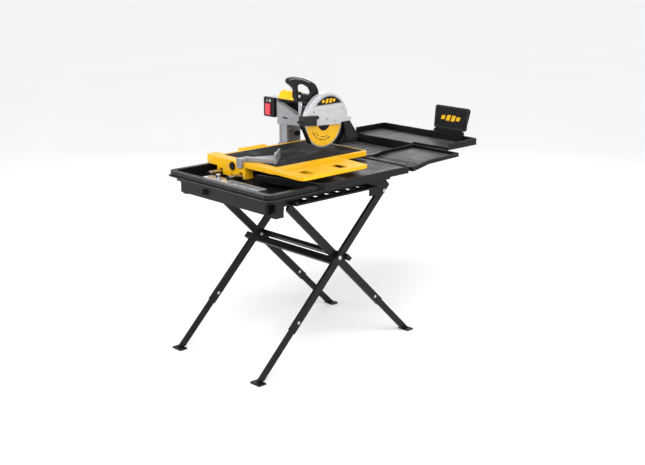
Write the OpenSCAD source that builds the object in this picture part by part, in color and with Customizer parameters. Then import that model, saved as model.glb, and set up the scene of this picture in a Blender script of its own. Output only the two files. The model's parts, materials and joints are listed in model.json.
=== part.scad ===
// Wet tile saw with a sliding cart, a cantilever head and catch trays, on a folding X-stand.
// X runs across the saw, Y away from the operator, Z up. The origin is on the floor, under the
// middle of the whole object.

/* [Stand] */
// Height of the crossing bolts above the floor
pivot_h = 508; // [500:1:516]
// Slope of the legs from the floor, degrees
leg_angle = 44.5; // [44:0.5:45]
// Middle plane of the outer legs
outer_leg_x = 307; // [306:1:308]
// Middle plane of the inner legs
inner_leg_x = 286; // [285:1:287]
// Depth of a leg tube, seen from the side
leg_w = 40; // [36:1:42]
// Thickness of a leg tube
leg_t = 16; // [15:1:16]
// Crossing bolt to the top hinge, along the leg
hinge_reach = 412; // [408:1:416]
// Crossing bolt to the leg bolts, along the leg
leg_bolt_reach = 381; // [370:1:390]

/* [Base] */
// Half width of the tub over its rim
tub_half = 378; // [370:1:382]
// Front of the tub
tub_front = -500; // [-505:1:-495]
// Rear of the tub
tub_rear = 430; // [428:1:432]
// Height of the tub's rim
rim_z = 908; // [906:1:909]
// Top of the shallow floor
floor_z = 862; // [860:1:864]
// Underside of the pump sump
sump_z = 804; // [802:1:812]

/* [Cart] */
// Height of the cutting surface
table_z = 954; // [952:1:955]
// Left edge of the cutting surface
mat_left = -309; // [-312:1:-305]
// Right edge of the cutting surface
mat_right = 98; // [94:1:102]
// Front edge of the cutting surface
mat_front = -205; // [-208:1:-202]
// Rear edge of the cutting surface
mat_rear = 380; // [376:1:384]

/* [Head] */
// Blade diameter
blade_d = 254; // [250:1:256]
// Plane of the blade
blade_x = -73; // [-74:1:-72]
// Blade centre, along the cut
blade_y = 260; // [258:1:262]
// Blade centre, height
blade_z = 1089; // [1088:0.5:1090]
// Motor axis, height
motor_z = 1184; // [1183:1:1185]
// Motor casing radius
motor_r = 39; // [38:0.5:39]

/* [Hidden] */
$fn = 48;
gap = 0.3;
pin_fit = 0.05;
wall = 2;

foot_y = 519.3;
foot = [66, 44.4, 7];
flap_y = 1035;
flap_z = 972;
flap_t = 7;
flap_h = 136;
flap_lean = 8;
tray_right = 408;
switch_left = -508;

// Centre of the whole object in plan
mid_x = (switch_left + tray_right) / 2;
rear_y = flap_y + flap_t / 2 * cos(flap_lean) + flap_h * sin(flap_lean);
mid_y = (rear_y - foot_y - foot[1] / 2) / 2;
tube_end = 52;
bar_half = 330;
hinge_y = hinge_reach * cos(leg_angle);
hinge_z = pivot_h + hinge_reach * sin(leg_angle);
track_z = hinge_z + leg_w / 2 + gap;

ledge_z = 839;
ledge_t = 8;
track_in = inner_leg_x - 12;
track_out = inner_leg_x + leg_t / 2 + 0.5;
ledge_out = 393;
post_z = 785;
ear_in = outer_leg_x + leg_t / 2 + 1.5;
ear_out = ear_in + 8;

rail_x = [-262, -108];
rail_r = 10;
rail_z = 886;
wheel_r = 12;
wheel_z = rail_z + rail_r + wheel_r + 0.1;
axle_y = [-160, 110];
slot_half = 3;
upper_reach = 435;
foot_reach = 745;
glide_start = 384;
lower_w = 33;
pin_r = 6;
tub_under = floor_z - 4;
step_y = 306;
step_z = 875.5;
drain_x = -120;
drain_z = 838;
motor_y = 262;
motor_end = -378;
spindle_r = 8;
shaft_r = 6;
axle_r = 4;
slide_y = [-150, 90];
slide_z = 941;
slide_r = 5;
deck_front = -262;
deck_under = 930;
knob_x = -168;
knob_z = 925;
slot_at = [[283, -186], [286, 20]];

bevel_x = -108;
bevel_r = 19.5;
bevel_z = 1094;
guard_y = 270;
guard_z = 1093;
guard_r = 150;
guard_x = [-86, -58];
case_x = [-150, -98];
belt_x = [-134, -114];
drive_r = 18;
driven_r = 25;
column_x = [-478, -408];
cheek_t = 14;
plunge_y = 370;
plunge_z = 1112;

// ---- helpers ----

module place() {
    translate([-mid_x, -mid_y, 0])
        children();
}

// Box from its low corner to its high corner
module block(low, high) {
    translate(low)
        cube(high - low);
}

// Cylinder along X from x0 to x1
module rod_x(x0, x1, y, z, r) {
    translate([x0, y, z])
        rotate([0, 90, 0])
            cylinder(h = x1 - x0, r = r);
}

// Cylinder along Y from y0 to y1
module rod_y(x, y0, y1, z, r) {
    translate([x, y0, z])
        rotate([-90, 0, 0])
            cylinder(h = y1 - y0, r = r);
}

// Outline given in Y and Z, extruded along X from x0 to x1
module slab_x(x0, x1) {
    translate([x0, 0, 0])
        rotate([90, 0, 90])
            linear_extrude(x1 - x0)
                children();
}

// Rectangle with true round corners, without facets
module round_rect(low, high, r) {
    union() {
        translate([low[0] + r, low[1]])
            square([high[0] - low[0] - 2 * r, high[1] - low[1]]);
        translate([low[0], low[1] + r])
            square([high[0] - low[0], high[1] - low[1] - 2 * r]);
        for (x = [low[0] + r, high[0] - r], y = [low[1] + r, high[1] - r])
            translate([x, y])
                circle(r);
    }
}

module both_sides() {
    children();
    mirror([1, 0, 0])
        children();
}

// Local Y runs up along the outer legs and local Z is normal to them
module along_outer() {
    translate([0, 0, pivot_h])
        rotate([leg_angle, 0, 0])
            children();
}

module along_inner() {
    mirror([0, 1, 0])
        along_outer()
            children();
}

// ---- stand ----

module upper_tube(x, reach, open_top) {
    difference() {
        block([x - leg_t / 2, -upper_reach, -leg_w / 2], [x + leg_t / 2, reach, leg_w / 2]);
        block([x - leg_t / 2 + wall, -upper_reach - 1, wall - leg_w / 2],
              [x + leg_t / 2 - wall, reach + (open_top ? 1 : -wall), leg_w / 2 - wall]);
        for (s = [0, -leg_bolt_reach])
            rod_x(x - leg_t, x + leg_t, s, 0, pin_r + pin_fit);
        if (!open_top)
            rod_x(x - leg_t, x + leg_t, hinge_reach, 0, pin_r + pin_fit);
    }
}

// Lower tube with its welded foot plate; it slides into the upper tube and is bolted
module lower_leg(x) {
    half_t = leg_t / 2 - wall - gap;
    difference() {
        along_outer()
            difference() {
                block([x - half_t, -foot_reach, -lower_w / 2], [x + half_t, -330, lower_w / 2]);
                block([x - half_t + 1.6, -foot_reach, 1.6 - lower_w / 2],
                      [x + half_t - 1.6, -329, lower_w / 2 - 1.6]);
                rod_x(x - leg_t, x + leg_t, -leg_bolt_reach, 0, pin_r + pin_fit);
            }
        block([x - 60, -900, -200], [x + 60, -300, foot[2] - 0.5]);
    }
    block([x - foot[0] / 2, -foot_y - foot[1] / 2, 0], [x + foot[0] / 2, foot[1] / 2 - foot_y, foot[2]]);
}

module outer_leg_right() {
    color("#26272a")
        place()
            along_outer()
                upper_tube(outer_leg_x, hinge_reach + tube_end, false);
}

module outer_leg_left() {
    color("#26272a")
        place()
            mirror([1, 0, 0])
                along_outer()
                    upper_tube(outer_leg_x, hinge_reach + tube_end, false);
}

module inner_leg_right() {
    color("#26272a")
        place()
            along_inner()
                upper_tube(inner_leg_x, glide_start, true);
}

module inner_leg_left() {
    color("#26272a")
        place()
            mirror([1, 0, 0])
                along_inner()
                    upper_tube(inner_leg_x, glide_start, true);
}

module outer_foot_leg_right() {
    color("#2b2c2f")
        place()
            lower_leg(outer_leg_x);
}

module outer_foot_leg_left() {
    color("#2b2c2f")
        place()
            mirror([1, 0, 0])
                lower_leg(outer_leg_x);
}

module inner_foot_leg_right() {
    color("#2b2c2f")
        place()
            mirror([0, 1, 0])
                lower_leg(inner_leg_x);
}

module inner_foot_leg_left() {
    color("#2b2c2f")
        place()
            mirror([1, 0, 0])
                mirror([0, 1, 0])
                    lower_leg(inner_leg_x);
}

// Tube across the frame, flat on the legs' upper faces just below the crossing
module crossbar() {
    difference() {
        block([-bar_half, -56, leg_w / 2], [bar_half, -22, leg_w / 2 + 20]);
        block([-bar_half - 1, -54, leg_w / 2 + wall], [bar_half + 1, -24, leg_w / 2 + 20 - wall]);
    }
}

module outer_crossbar() {
    color("#303134")
        place()
            along_outer()
                crossbar();
}

module inner_crossbar() {
    color("#303134")
        place()
            along_inner()
                crossbar();
}

module pivot_bolts() {
    color("silver")
        place()
            both_sides() {
                rod_x(inner_leg_x - leg_t / 2 - 6, outer_leg_x + leg_t / 2 + 1, 0, pivot_h, pin_r);
                rod_x(outer_leg_x + leg_t / 2, outer_leg_x + leg_t / 2 + 4, 0, pivot_h, 11);
                rod_x(inner_leg_x - leg_t / 2 - 9, inner_leg_x - leg_t / 2 - gap, 0, pivot_h, 10);
                rod_x(inner_leg_x + leg_t / 2 + gap, outer_leg_x - leg_t / 2, 0, pivot_h, 12);
            }
}

module leg_bolts(x) {
    both_sides() {
        rod_x(x - leg_t / 2 - 1, x + leg_t / 2 + 1, -leg_bolt_reach, 0, pin_r);
        for (side = [-1, 1])
            translate([x + side * (leg_t / 2 + 1.75), -leg_bolt_reach, 0])
                rotate([0, 90, 0])
                    cylinder(h = 3.5, r = 8, center = true);
    }
}

module outer_leg_bolts() {
    color("silver")
        place()
            along_outer()
                leg_bolts(outer_leg_x);
}

module inner_leg_bolts() {
    color("silver")
        place()
            along_inner()
                leg_bolts(inner_leg_x);
}

// Round-nosed plugs that slide under the base when the stand folds
module leg_glides() {
    color("#151515")
        place()
            along_inner()
                both_sides() {
                    rod_x(inner_leg_x - leg_t / 2, inner_leg_x + leg_t / 2, hinge_reach, 0, leg_w / 2);
                    block([inner_leg_x - leg_t / 2, glide_start, -leg_w / 2],
                          [inner_leg_x + leg_t / 2, hinge_reach, leg_w / 2]);
                    block([inner_leg_x - 5.7, glide_start - 22, -17.5],
                          [inner_leg_x + 5.7, glide_start + 1, 17.5]);
                }
}

module top_hinge_bolts() {
    color("silver")
        place()
            both_sides() {
                rod_x(outer_leg_x - leg_t / 2 - 3, ear_out + 1, hinge_y, hinge_z, pin_r);
                rod_x(ear_out, ear_out + 4, hinge_y, hinge_z, 10);
            }
}

// ---- base ----

module base_frame() {
    color("#1f2022")
        place()
            difference() {
                union() {
                    block([-ledge_out, -352, ledge_z], [ledge_out, -338, tub_under]);
                    block([-ledge_out, 286, ledge_z], [ear_out, 300, tub_under]);
                    block([-ledge_out, 176, ledge_z], [-track_out, 300, ledge_z + ledge_t]);
                    for (y = [-352, 192])
                        block([-inner_leg_x, y, track_z], [inner_leg_x, y + 14, tub_under]);
                    both_sides() {
                        block([track_in, -352, track_z], [track_out, 206, track_z + 6.5]);
                        for (y = [-352, -190, -50, 90, 192])
                            block([track_out - 3, y, track_z], [track_out, y + 14, tub_under]);
                        block([track_out - 3, -352, ledge_z - 3], [track_out, 300, tub_under]);
                        block([track_out - 1, -352, ledge_z], [ledge_out, 180, ledge_z + ledge_t]);
                        block([track_out - 1, 176, ledge_z], [ear_out, 300, ledge_z + ledge_t]);
                        block([ear_in, 196, 782], [ear_out, 300, tub_under]);
                        difference() {
                            block([318, -435, post_z], [348, -386, tub_under]);
                            block([322, -431, post_z - 1], [344, -390, tub_under + 1]);
                        }
                        block([318, -390, ledge_z], [348, -350, tub_under]);
                    }
                    block([-500, 286, ledge_z], [-372, 424, ledge_z + ledge_t]);
                    block([-372, 286, ledge_z], [-310, 380, ledge_z + ledge_t]);
                }
                both_sides() {
                    block([track_out + 1, 228, 770], [ear_in - 0.5, 362, tub_under + 1]);
                    rod_x(ear_in - 5, ear_out + 5, hinge_y, hinge_z, pin_r + pin_fit);
                    for (k = [0:6])
                        block([304, -329 + 70.5 * k, 830], [366, -291 + 70.5 * k, 860]);
                }
            }
}

module tub_outline(half, front, rear, r, low, high) {
    translate([0, 0, low])
        linear_extrude(high - low)
            round_rect([-half, front], [half, rear], r);
}

module tub() {
    color("#222326")
        place()
            difference() {
                union() {
                    tub_outline(356, tub_front + 22, tub_rear, 26, tub_under, rim_z - 1);
                    tub_outline(tub_half, tub_front, tub_rear, 34, rim_z - 24, rim_z);
                    tub_outline(tub_half + 10, tub_front - 8, tub_rear, 42, rim_z - 28, rim_z - 24);
                    block([-316, -470, sump_z], [316, -356, tub_under + 1]);
                }
                difference() {
                    tub_outline(tub_half - 4, tub_front + 4, tub_rear - 4, 30, rim_z - 29, rim_z - 4);
                    tub_outline(356, tub_front + 22, tub_rear, 26, tub_under, rim_z);
                }
                block([-400, step_y, tub_under - 1], [400, tub_rear + 1, step_z - 4]);
                tub_outline(352, tub_front + 26, step_y - 4, 22, floor_z, rim_z + 1);
                tub_outline(352, tub_front + 26, tub_rear - 4, 22, step_z, rim_z + 1);
                block([-312, -466, sump_z + 4], [312, -360, floor_z + 1]);
                rod_y(drain_x, -480, -460, drain_z, 9);
            }
}

module cart_rails() {
    color("#b9bcc0")
        place()
            for (x = rail_x) {
                rod_y(x, -340, 424, rail_z, rail_r);
                block([x - 9, 400, step_z], [x + 9, 424, rail_z]);
                block([x - 9, -340, floor_z], [x + 9, -322, rail_z - 5]);
            }
}

module rail_crossbar() {
    color("#d0d2d4")
        place()
            difference() {
                union() {
                    block([-235, -400, floor_z], [180, -340, 882]);
                    translate([-150, -368, 881])
                        cylinder(h = 23, r = 11);
                }
                block([-60, -392, 866], [170, -348, 900]);
            }
}

module water_pump() {
    color("#2c3e50")
        place()
            difference() {
                union() {
                    block([-255, -452, sump_z + 4], [-185, -382, 848]);
                    translate([-220, -417, 847])
                        cylinder(h = 14, r = 22);
                    rod_x(-186, -168, -417, 832, 7);
                }
                rod_x(-190, -167, -417, 832, 5);
            }
}

module drain_plug() {
    color("#111111")
        place()
            union() {
                rod_y(drain_x, -470.3, -462, drain_z, 8.6);
                rod_y(drain_x, -482, -470.3, drain_z, 14);
                block([drain_x - 3, -490, drain_z - 12], [drain_x + 3, -481, drain_z + 12]);
            }
}

module column_base() {
    color("#9fa2a5")
        place()
            union() {
                block([-494, 288, ledge_z + ledge_t], [-402, 424, ledge_z + ledge_t + 12]);
                block([-482, 296, ledge_z + ledge_t], [-404, 414, 905]);
                for (y = [300, 350, 400])
                    block([-494, y, ledge_z + ledge_t], [-470, y + 8, 892]);
            }
}

module column() {
    color("#b4b6b8")
        place()
            difference() {
                union() {
                    block([-472, 306, 905], [column_x[1], 404, 1072]);
                    block([column_x[0], 300, 905], [-404, 412, 925]);
                    slab_x(column_x[1] - 2, -394)
                        polygon([[306, 1004], [312, 1000], [402, 1030], [402, 1037]]);
                    slab_x(column_x[1] - 2, -396)
                        polygon([[306, 952], [306, 946], [398, 926], [404, 932]]);
                    for (x = [column_x[0], column_x[1] - cheek_t]) {
                        block([x, 312, 1060], [x + cheek_t, 392, plunge_z]);
                        rod_x(x, x + cheek_t, plunge_y, plunge_z, 40);
                    }
                }
                rod_x(-500, -390, plunge_y, plunge_z, 10 + pin_fit);
                rod_x(-430, -390, 371, 978, 5 + pin_fit);
                block([-416, 322, 1012], [-400, 356, 1056]);
                block([-416, 366, 1012], [-400, 392, 1056]);
                block([-416, 322, 940], [-400, 346, 1000]);
                block([-460, 300, 930], [-420, 309, 1050]);
            }
}

module plunge_pin() {
    color("silver")
        place()
            union() {
                rod_x(-486, -400, plunge_y, plunge_z, 10);
                rod_x(-488, column_x[0], plunge_y, plunge_z, 15);
                rod_x(column_x[1], -402, plunge_y, plunge_z, 14);
            }
}

module plunge_lock_knob() {
    color("#151515")
        place()
            union() {
                rod_x(-428, -400, 371, 978, 5);
                rod_x(column_x[1] + gap, -398, 371, 978, 9);
                difference() {
                    rod_x(-400, -387, 371, 978, 14);
                    for (a = [0:60:300])
                        rod_x(-401, -386, 371 + 17 * cos(a), 978 + 17 * sin(a), 6);
                }
            }
}

// ---- arm ----

module arm() {
    color("#b9bbbd")
        place()
            difference() {
                union() {
                    rod_x(-461, -425, plunge_y, plunge_z, 30);
                    difference() {
                        block([-506, 246, 1078], [-425, 306, 1178]);
                        block([-502, 245, 1082], [-429, 300, 1174]);
                    }
                    block([-461, 264, 1090], [-425, plunge_y, 1137]);
                    block([-461, 264, 1090], [-340, 300, 1137]);
                    block([-356, 200, 1058], [-340, 300, 1137]);
                    hull() {
                        block([-356, 192, 1054], [-340, 221, 1168]);
                        block([-160, 152, 1076], [-150, 186, 1128]);
                    }
                    hull() {
                        block([-160, 152, 1076], [-150, 186, 1128]);
                        rod_y(bevel_x, 152, 186, bevel_z, bevel_r);
                    }
                }
                rod_x(-470, -415, plunge_y, plunge_z, 10 + pin_fit);
                rod_y(bevel_x, 140, 190, bevel_z, 10 + pin_fit);
                block([-300, 130, 1094], [-250, 240, 1103]);
            }
}

module switch_box() {
    color("#1c1c1e")
        place()
            difference() {
                union() {
                    block([-508, 236, 1076], [-424, 246, 1180]);
                    translate([-466, 236, 1128])
                        rotate([90, 0, 0])
                            linear_extrude(6)
                                round_rect([-42, -52], [42, 52], 8);
                }
                block([-492, 229, 1084], [-452, 247, 1148]);
            }
}

// Rocker that is pressed in at its lower end to stop the saw
module switch_paddle() {
    color("#d8323c")
        place()
            difference() {
                union() {
                    block([-491, 224, 1086], [-453, 236, 1146]);
                    rod_x(-491, -453, 236, 1140, 5);
                    block([-491, 224, 1086], [-453, 244, 1098]);
                }
                block([-484, 227, 1099], [-460, 240, 1132]);
                rod_x(-492, -452, 236, 1140, 2);
            }
}

// ---- head ----

module belt_case() {
    color("#a9abad")
        place()
            difference() {
                union() {
                    hull() {
                        rod_x(case_x[0], case_x[1], motor_y, motor_z, 46);
                        rod_x(case_x[0], case_x[1], blade_y, blade_z, 40);
                    }
                    rod_x(case_x[1] - 1, guard_x[0], blade_y, blade_z, 30);
                    rod_y(bevel_x, 186.3, 200, bevel_z, bevel_r);
                    block([-150, 196, 1070], [guard_x[0] - 0.5, 240, 1112]);
                    rod_y(bevel_x, 146, 190, bevel_z, 10);
                }
                hull() {
                    rod_x(-138, -109, motor_y, motor_z, 30);
                    rod_x(-138, -109, blade_y, blade_z, 34);
                }
                rod_x(-148, -130, blade_y, blade_z, 16 + pin_fit);
                rod_x(-115, -98, blade_y, blade_z, 16 + pin_fit);
                rod_x(-100, -80, blade_y, blade_z, 12);
                rod_x(-152, -130, motor_y, motor_z, 16 + pin_fit);
            }
}

module motor_housing() {
    color("#1b1c1e")
        place()
            difference() {
                union() {
                    rod_x(motor_end, case_x[0], motor_y, motor_z, motor_r);
                    translate([0, 258, 0])
                        rotate([90, 0, 0])
                            linear_extrude(26)
                                polygon([[-330, 1160], [case_x[0], 1160], [case_x[0], 1092], [-186, 1104],
                                         [-300, 1146]]);
                }
                rod_x(motor_end + 8, case_x[0] + 1, motor_y, motor_z, motor_r - 3.5);
                rod_x(motor_end + 2, motor_end + 16, motor_y, motor_z, 16 + pin_fit);
                for (a = [200:20:340])
                    translate([motor_end + 10, motor_y, motor_z])
                        rotate([a, 0, 0])
                            block([0, 30, -2.5], [36, 44, 2.5]);
            }
}

// Shell over the upper half of the motor
module motor_cover() {
    color("#f6bd16")
        place()
            difference() {
                union() {
                    rod_x(motor_end + 2, -258, motor_y, motor_z, motor_r + 3);
                    translate([motor_end - 8, motor_y, motor_z])
                        rotate([0, 90, 0])
                            cylinder(h = 10, r1 = motor_r - 5, r2 = motor_r + 3);
                }
                rod_x(motor_end - 2, -257, motor_y, motor_z, motor_r);
                block([-430, motor_y - 60, motor_z - 60], [-250, motor_y + 60, motor_z + 1]);
            }
}

module stator() {
    color("#8a5a33")
        place()
            difference() {
                rod_x(-325, -195, motor_y, motor_z, motor_r - 3.5);
                rod_x(-326, -194, motor_y, motor_z, 24);
            }
}

module bearing(x, y, z, bore) {
    difference() {
        rod_x(x, x + 9, y, z, 16);
        rod_x(x - 1, x + 10, y, z, bore + pin_fit);
        for (side = [0, 7.5])
            difference() {
                rod_x(x + side, x + side + 1.5, y, z, 13.5);
                rod_x(x + side - 1, x + side + 2.5, y, z, 10.5);
            }
    }
}

module bearings() {
    color("silver")
        place()
            union() {
                bearing(-147.5, blade_y, blade_z, spindle_r);
                bearing(-107.5, blade_y, blade_z, spindle_r);
                bearing(-147.5, motor_y, motor_z, shaft_r);
                bearing(motor_end + 2.5, motor_y, motor_z, shaft_r);
            }
}

module belt_loop(extra) {
    hull() {
        translate([motor_y, motor_z])
            circle(drive_r + gap + extra);
        translate([blade_y, blade_z])
            circle(driven_r + gap + extra);
    }
}

module drive_belt() {
    color("#101010")
        place()
            slab_x(-131, -117)
                difference() {
                    belt_loop(4);
                    belt_loop(0);
                }
}

// Shaft with the winding pack, commutator, cooling fan and belt pulley on it
module armature() {
    color("#b87333")
        place()
            union() {
                rod_x(motor_end + 3, -112, motor_y, motor_z, shaft_r);
                rod_x(-330, -190, motor_y, motor_z, 22);
                rod_x(-356, -338, motor_y, motor_z, 13);
                rod_x(belt_x[0] + 1, belt_x[1], motor_y, motor_z, drive_r);
                rod_x(belt_x[1], belt_x[1] + 1.5, motor_y, motor_z, drive_r + 2);
                rod_x(-182, -180, motor_y, motor_z, 34);
                rod_x(-182, -166, motor_y, motor_z, 11);
                for (a = [0:30:330])
                    translate([-181, motor_y, motor_z])
                        rotate([a, 0, 0])
                            block([0, 9, -1], [13, 33, 1]);
            }
}

// D-shaped hand loop with a forward horn
module handle() {
    color("#17181a")
        place()
            difference() {
                slab_x(-130, -106)
                    difference() {
                        polygon([[54, 1306], [50, 1316], [56, 1327], [70, 1332], [104, 1332], [150, 1322],
                                 [202, 1303], [234, 1284], [250, 1260], [256, 1242], [254, 1220],
                                 [190, 1190], [176, 1206], [130, 1208], [108, 1214], [96, 1234],
                                 [98, 1268], [88, 1282]]);
                        polygon([[114, 1288], [124, 1294], [164, 1290], [200, 1270], [214, 1248], [208, 1226],
                                 [194, 1214], [134, 1226], [118, 1242]]);
                        translate([motor_y, motor_z])
                            circle(46);
                    }
                rod_x(-112, -100, 106, 1238, 4 + pin_fit);
            }
}

module head_lock_knob() {
    color("#202124")
        place()
            union() {
                rod_x(-111, -100, 106, 1238, 4);
                difference() {
                    rod_x(-105.7, -88, 106, 1238, 23);
                    for (a = [0:45:315])
                        rod_x(-106, -87, 106 + 26 * cos(a), 1238 + 26 * sin(a), 6);
                    rod_x(-91, -87, 106, 1238, 14);
                }
                rod_x(-94, -86, 106, 1238, 10);
            }
}

// Height stop: a screw in a bright sleeve, held to the case by two clips
module height_rod() {
    color("#d8dadc")
        place()
            union() {
                translate([-112, 136, 1132])
                    cylinder(h = 70, r = 10);
                translate([-112, 136, 1124])
                    cylinder(h = 10, r = 5);
                block([-116, 140, 1142], [-108, 217, 1149]);
                block([-116, 140, 1172], [-108, 215.6, 1179]);
            }
}

module blade_guard() {
    color("#c3c5c7")
        place()
            difference() {
                union() {
                    rod_x(guard_x[0], guard_x[1] - 3, guard_y, guard_z, guard_r);
                    translate([guard_x[1] - 3, guard_y, guard_z])
                        rotate([0, 90, 0])
                            cylinder(h = 3, r1 = guard_r, r2 = guard_r - 4);
                    block([guard_x[0], 396, 1080], [guard_x[1], 444, 1104]);
                }
                rod_x(guard_x[0] + 3, guard_x[1] - 3, guard_y, guard_z, guard_r - 3);
                block([guard_x[0] + 3, 300, 1060], [guard_x[1] - 3, 412, 1100]);
                rod_x(guard_x[0] - 1, guard_x[0] + 4, blade_y, blade_z, 14);
                translate([0, guard_y, 1078])
                    rotate([-3.3, 0, 0])
                        block([-120, -200, -160], [-30, 122, 0]);
                block([-120, 370, 900], [-30, 450, 1082]);
            }
}

module guard_badge() {
    color("#141414")
        place()
            slab_x(guard_x[1], guard_x[1] + 1.5)
                intersection() {
                    translate([282, 1108])
                        circle(119);
                    translate([150, 1181])
                        square([260, 60]);
                }
}

module guard_screws() {
    color("silver")
        place()
            for (p = [[272, 1109], [178, 1155], [376, 1155], [324, 1095]])
                rod_x(guard_x[1], guard_x[1] + 2.5, p[0], p[1], 5);
}

module nozzle_block() {
    color("#2a2b2d")
        place()
            difference() {
                union() {
                    slab_x(guard_x[1], -46)
                        polygon([[112, 1140], [201, 1133], [204, 1116], [188, 1118], [188, 1084],
                                 [114, 1093]]);
                    block([-88, 101, 1094], [-46, 119.5, 1138]);
                    for (x = [-80, -62])
                        rod_y(x, 88, 102, 1110, 6);
                }
                for (x = [-80, -62])
                    rod_y(x, 84, 97, 1110, 3.5);
            }
}

module front_flap() {
    color("#141414")
        place()
            slab_x(-86, -58.3)
                polygon([[104, 1093.7], [114, 1093.7], [126, 1066], [163, 997], [157, 992], [122, 1060],
                         [104, 1084]]);
}

// Left cheek and back of the spray hood behind the blade
module rear_shroud() {
    color("#141414")
        place()
            union() {
                slab_x(-93, guard_x[0])
                    polygon(shroud_side);
                slab_x(-66, -62)
                    difference() {
                        polygon(shroud_side);
                        translate([guard_y, guard_z])
                            circle(guard_r + gap);
                    }
                slab_x(-90, -62)
                    polygon([[500, 986], [510, 986], [440, 1079.7], [429, 1079.7]]);
            }
}

shroud_side = [[352, 964], [386, 1079.7], [440, 1079.7], [510, 986], [486, 968]];

module rear_flap() {
    color("#303133")
        place()
            slab_x(-62, -56)
                polygon([[386, 1079.7], [436, 1079.7], [494, 990], [415, 977]]);
}

module spindle() {
    color("silver")
        place()
            union() {
                rod_x(-147, guard_x[1] - 3.5, blade_y, blade_z, spindle_r);
                rod_x(belt_x[0] + 1, belt_x[1], blade_y, blade_z, driven_r);
                rod_x(-98, -82.5, blade_y, blade_z, 11);
            }
}

module blade() {
    color("#f6bd16")
        place()
            difference() {
                union() {
                    rod_x(blade_x - 1.2, blade_x + 1.2, blade_y, blade_z, blade_d / 2 - 7);
                    difference() {
                        rod_x(blade_x - 1.6, blade_x + 1.6, blade_y, blade_z, blade_d / 2);
                        rod_x(blade_x - 2, blade_x + 2, blade_y, blade_z, blade_d / 2 - 8);
                    }
                }
                rod_x(blade_x - 5, blade_x + 5, blade_y, blade_z, spindle_r + pin_fit);
            }
}

module blade_flanges() {
    color("#151515")
        place()
            difference() {
                union() {
                    rod_x(-82.5, blade_x - 1.2, blade_y, blade_z, 39);
                    rod_x(blade_x + 1.2, -67.5, blade_y, blade_z, 39);
                }
                rod_x(-90, -60, blade_y, blade_z, spindle_r + pin_fit);
                rod_x(blade_x - 3, blade_x + 3, blade_y, blade_z, 22);
            }
}

module arbor_nut() {
    color("silver")
        place()
            difference() {
                translate([-67.5, blade_y, blade_z])
                    rotate([0, 90, 0])
                        cylinder(h = 5.8, r = 14, $fn = 6);
                rod_x(-70, -50, blade_y, blade_z, spindle_r + pin_fit);
            }
}

// ---- cart ----

module deck_plan() {
    polygon([[-392, deck_front + 24], [-372, deck_front], [140, deck_front], [140, 165], [122, 180],
             [122, 374], [104, 390], [-334, 390], [-334, 132], [-350, 118], [-372, 100], [-372, -62],
             [-350, -82], [-334, -96], [-334, -182], [-392, -192]]);
}

module cart_frame() {
    color("#f6bd16")
        place()
            difference() {
                union() {
                    difference() {
                        translate([0, 0, deck_under])
                            linear_extrude(table_z - 1 - deck_under)
                                deck_plan();
                        for (x = [[-320, -258], [-250, -104], [-96, -6], [0, 90]])
                            block([x[0], -190, deck_under - 1], [x[1], 376, table_z - 12]);
                    }
                    block([-372, -62, table_z - 3], [-338, 100, table_z + 5]);
                    block([-372, deck_front, 911], [-75, -212, deck_under + 1]);
                    block([-292, deck_front, 872], [-75, -212, 915]);
                    for (y = axle_y, x = [-286, -91])
                        block([x, y - 12, wheel_z - 10], [x + 6, y + 12, table_z - 11]);
                }
                block([mat_left - 0.5, mat_front - 0.5, table_z - 6], [mat_right + 0.5, mat_rear + 0.5, table_z + 1]);
                block([blade_x - slot_half, mat_front - 5, table_z - 9], [blade_x + slot_half, 395, table_z]);
                for (x = rail_x)
                    block([x - 14, deck_front - 5, 860], [x + 14, -200, 902]);
                for (y = axle_y)
                    rod_x(-290, -80, y, wheel_z, axle_r + pin_fit);
                for (y = slide_y)
                    rod_x(-60, 150, y, slide_z, slide_r + pin_fit);
                rod_y(knob_x, deck_front - 1, deck_front + 16, knob_z, 25);
                rod_y(knob_x, deck_front, deck_front + 40, knob_z, 5 + pin_fit);
                block([-186, deck_front - 1, 860], [-172, deck_front + 8, 886]);
            }
}

module cutting_mat() {
    color("#3a3b3d")
        place()
            difference() {
                block([mat_left, mat_front, table_z - 6], [mat_right, mat_rear, table_z]);
                block([blade_x - slot_half, mat_front - 1, table_z - 7], [blade_x + slot_half, mat_rear + 1, table_z + 1]);
                for (x = [-194, -188])
                    block([x, mat_front - 1, table_z - 2], [x + 2, mat_rear + 1, table_z + 1]);
            }
}

module wheel_set(y) {
    union() {
        rod_x(-287, -84, y, wheel_z, axle_r);
        for (x = rail_x)
            rod_x(x - 8, x + 8, y, wheel_z, wheel_r);
    }
}

module front_wheels() {
    color("#4a4c50")
        place()
            wheel_set(axle_y[0]);
}

module rear_wheels() {
    color("#4a4c50")
        place()
            wheel_set(axle_y[1]);
}

module side_extension() {
    color("#f6bd16")
        place()
            difference() {
                union() {
                    translate([0, 0, table_z - 16])
                        linear_extrude(15)
                            polygon([[140.3, deck_front - 14], [338, deck_front - 22], [358, deck_front - 10],
                                     [362, deck_front + 10], [362, 132], [350, 148], [176, 166], [140.3, 164]]);
                    for (y = slide_y)
                        rod_x(-50, 320, y, slide_z, slide_r);
                }
                difference() {
                    block([226, deck_front - 4, table_z - 17], [352, 138, table_z - 4]);
                    for (y = slide_y)
                        block([200, y - 8, table_z - 20], [330, y + 8, table_z]);
                }
                for (p = slot_at)
                    translate([p[0], p[1], table_z - 20])
                        linear_extrude(30)
                            round_rect([-38, -25], [38, 25], 8);
                translate([0, 0, table_z - 5])
                    linear_extrude(10)
                        round_rect([152, -238], [212, 140], 10);
            }
}

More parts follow.
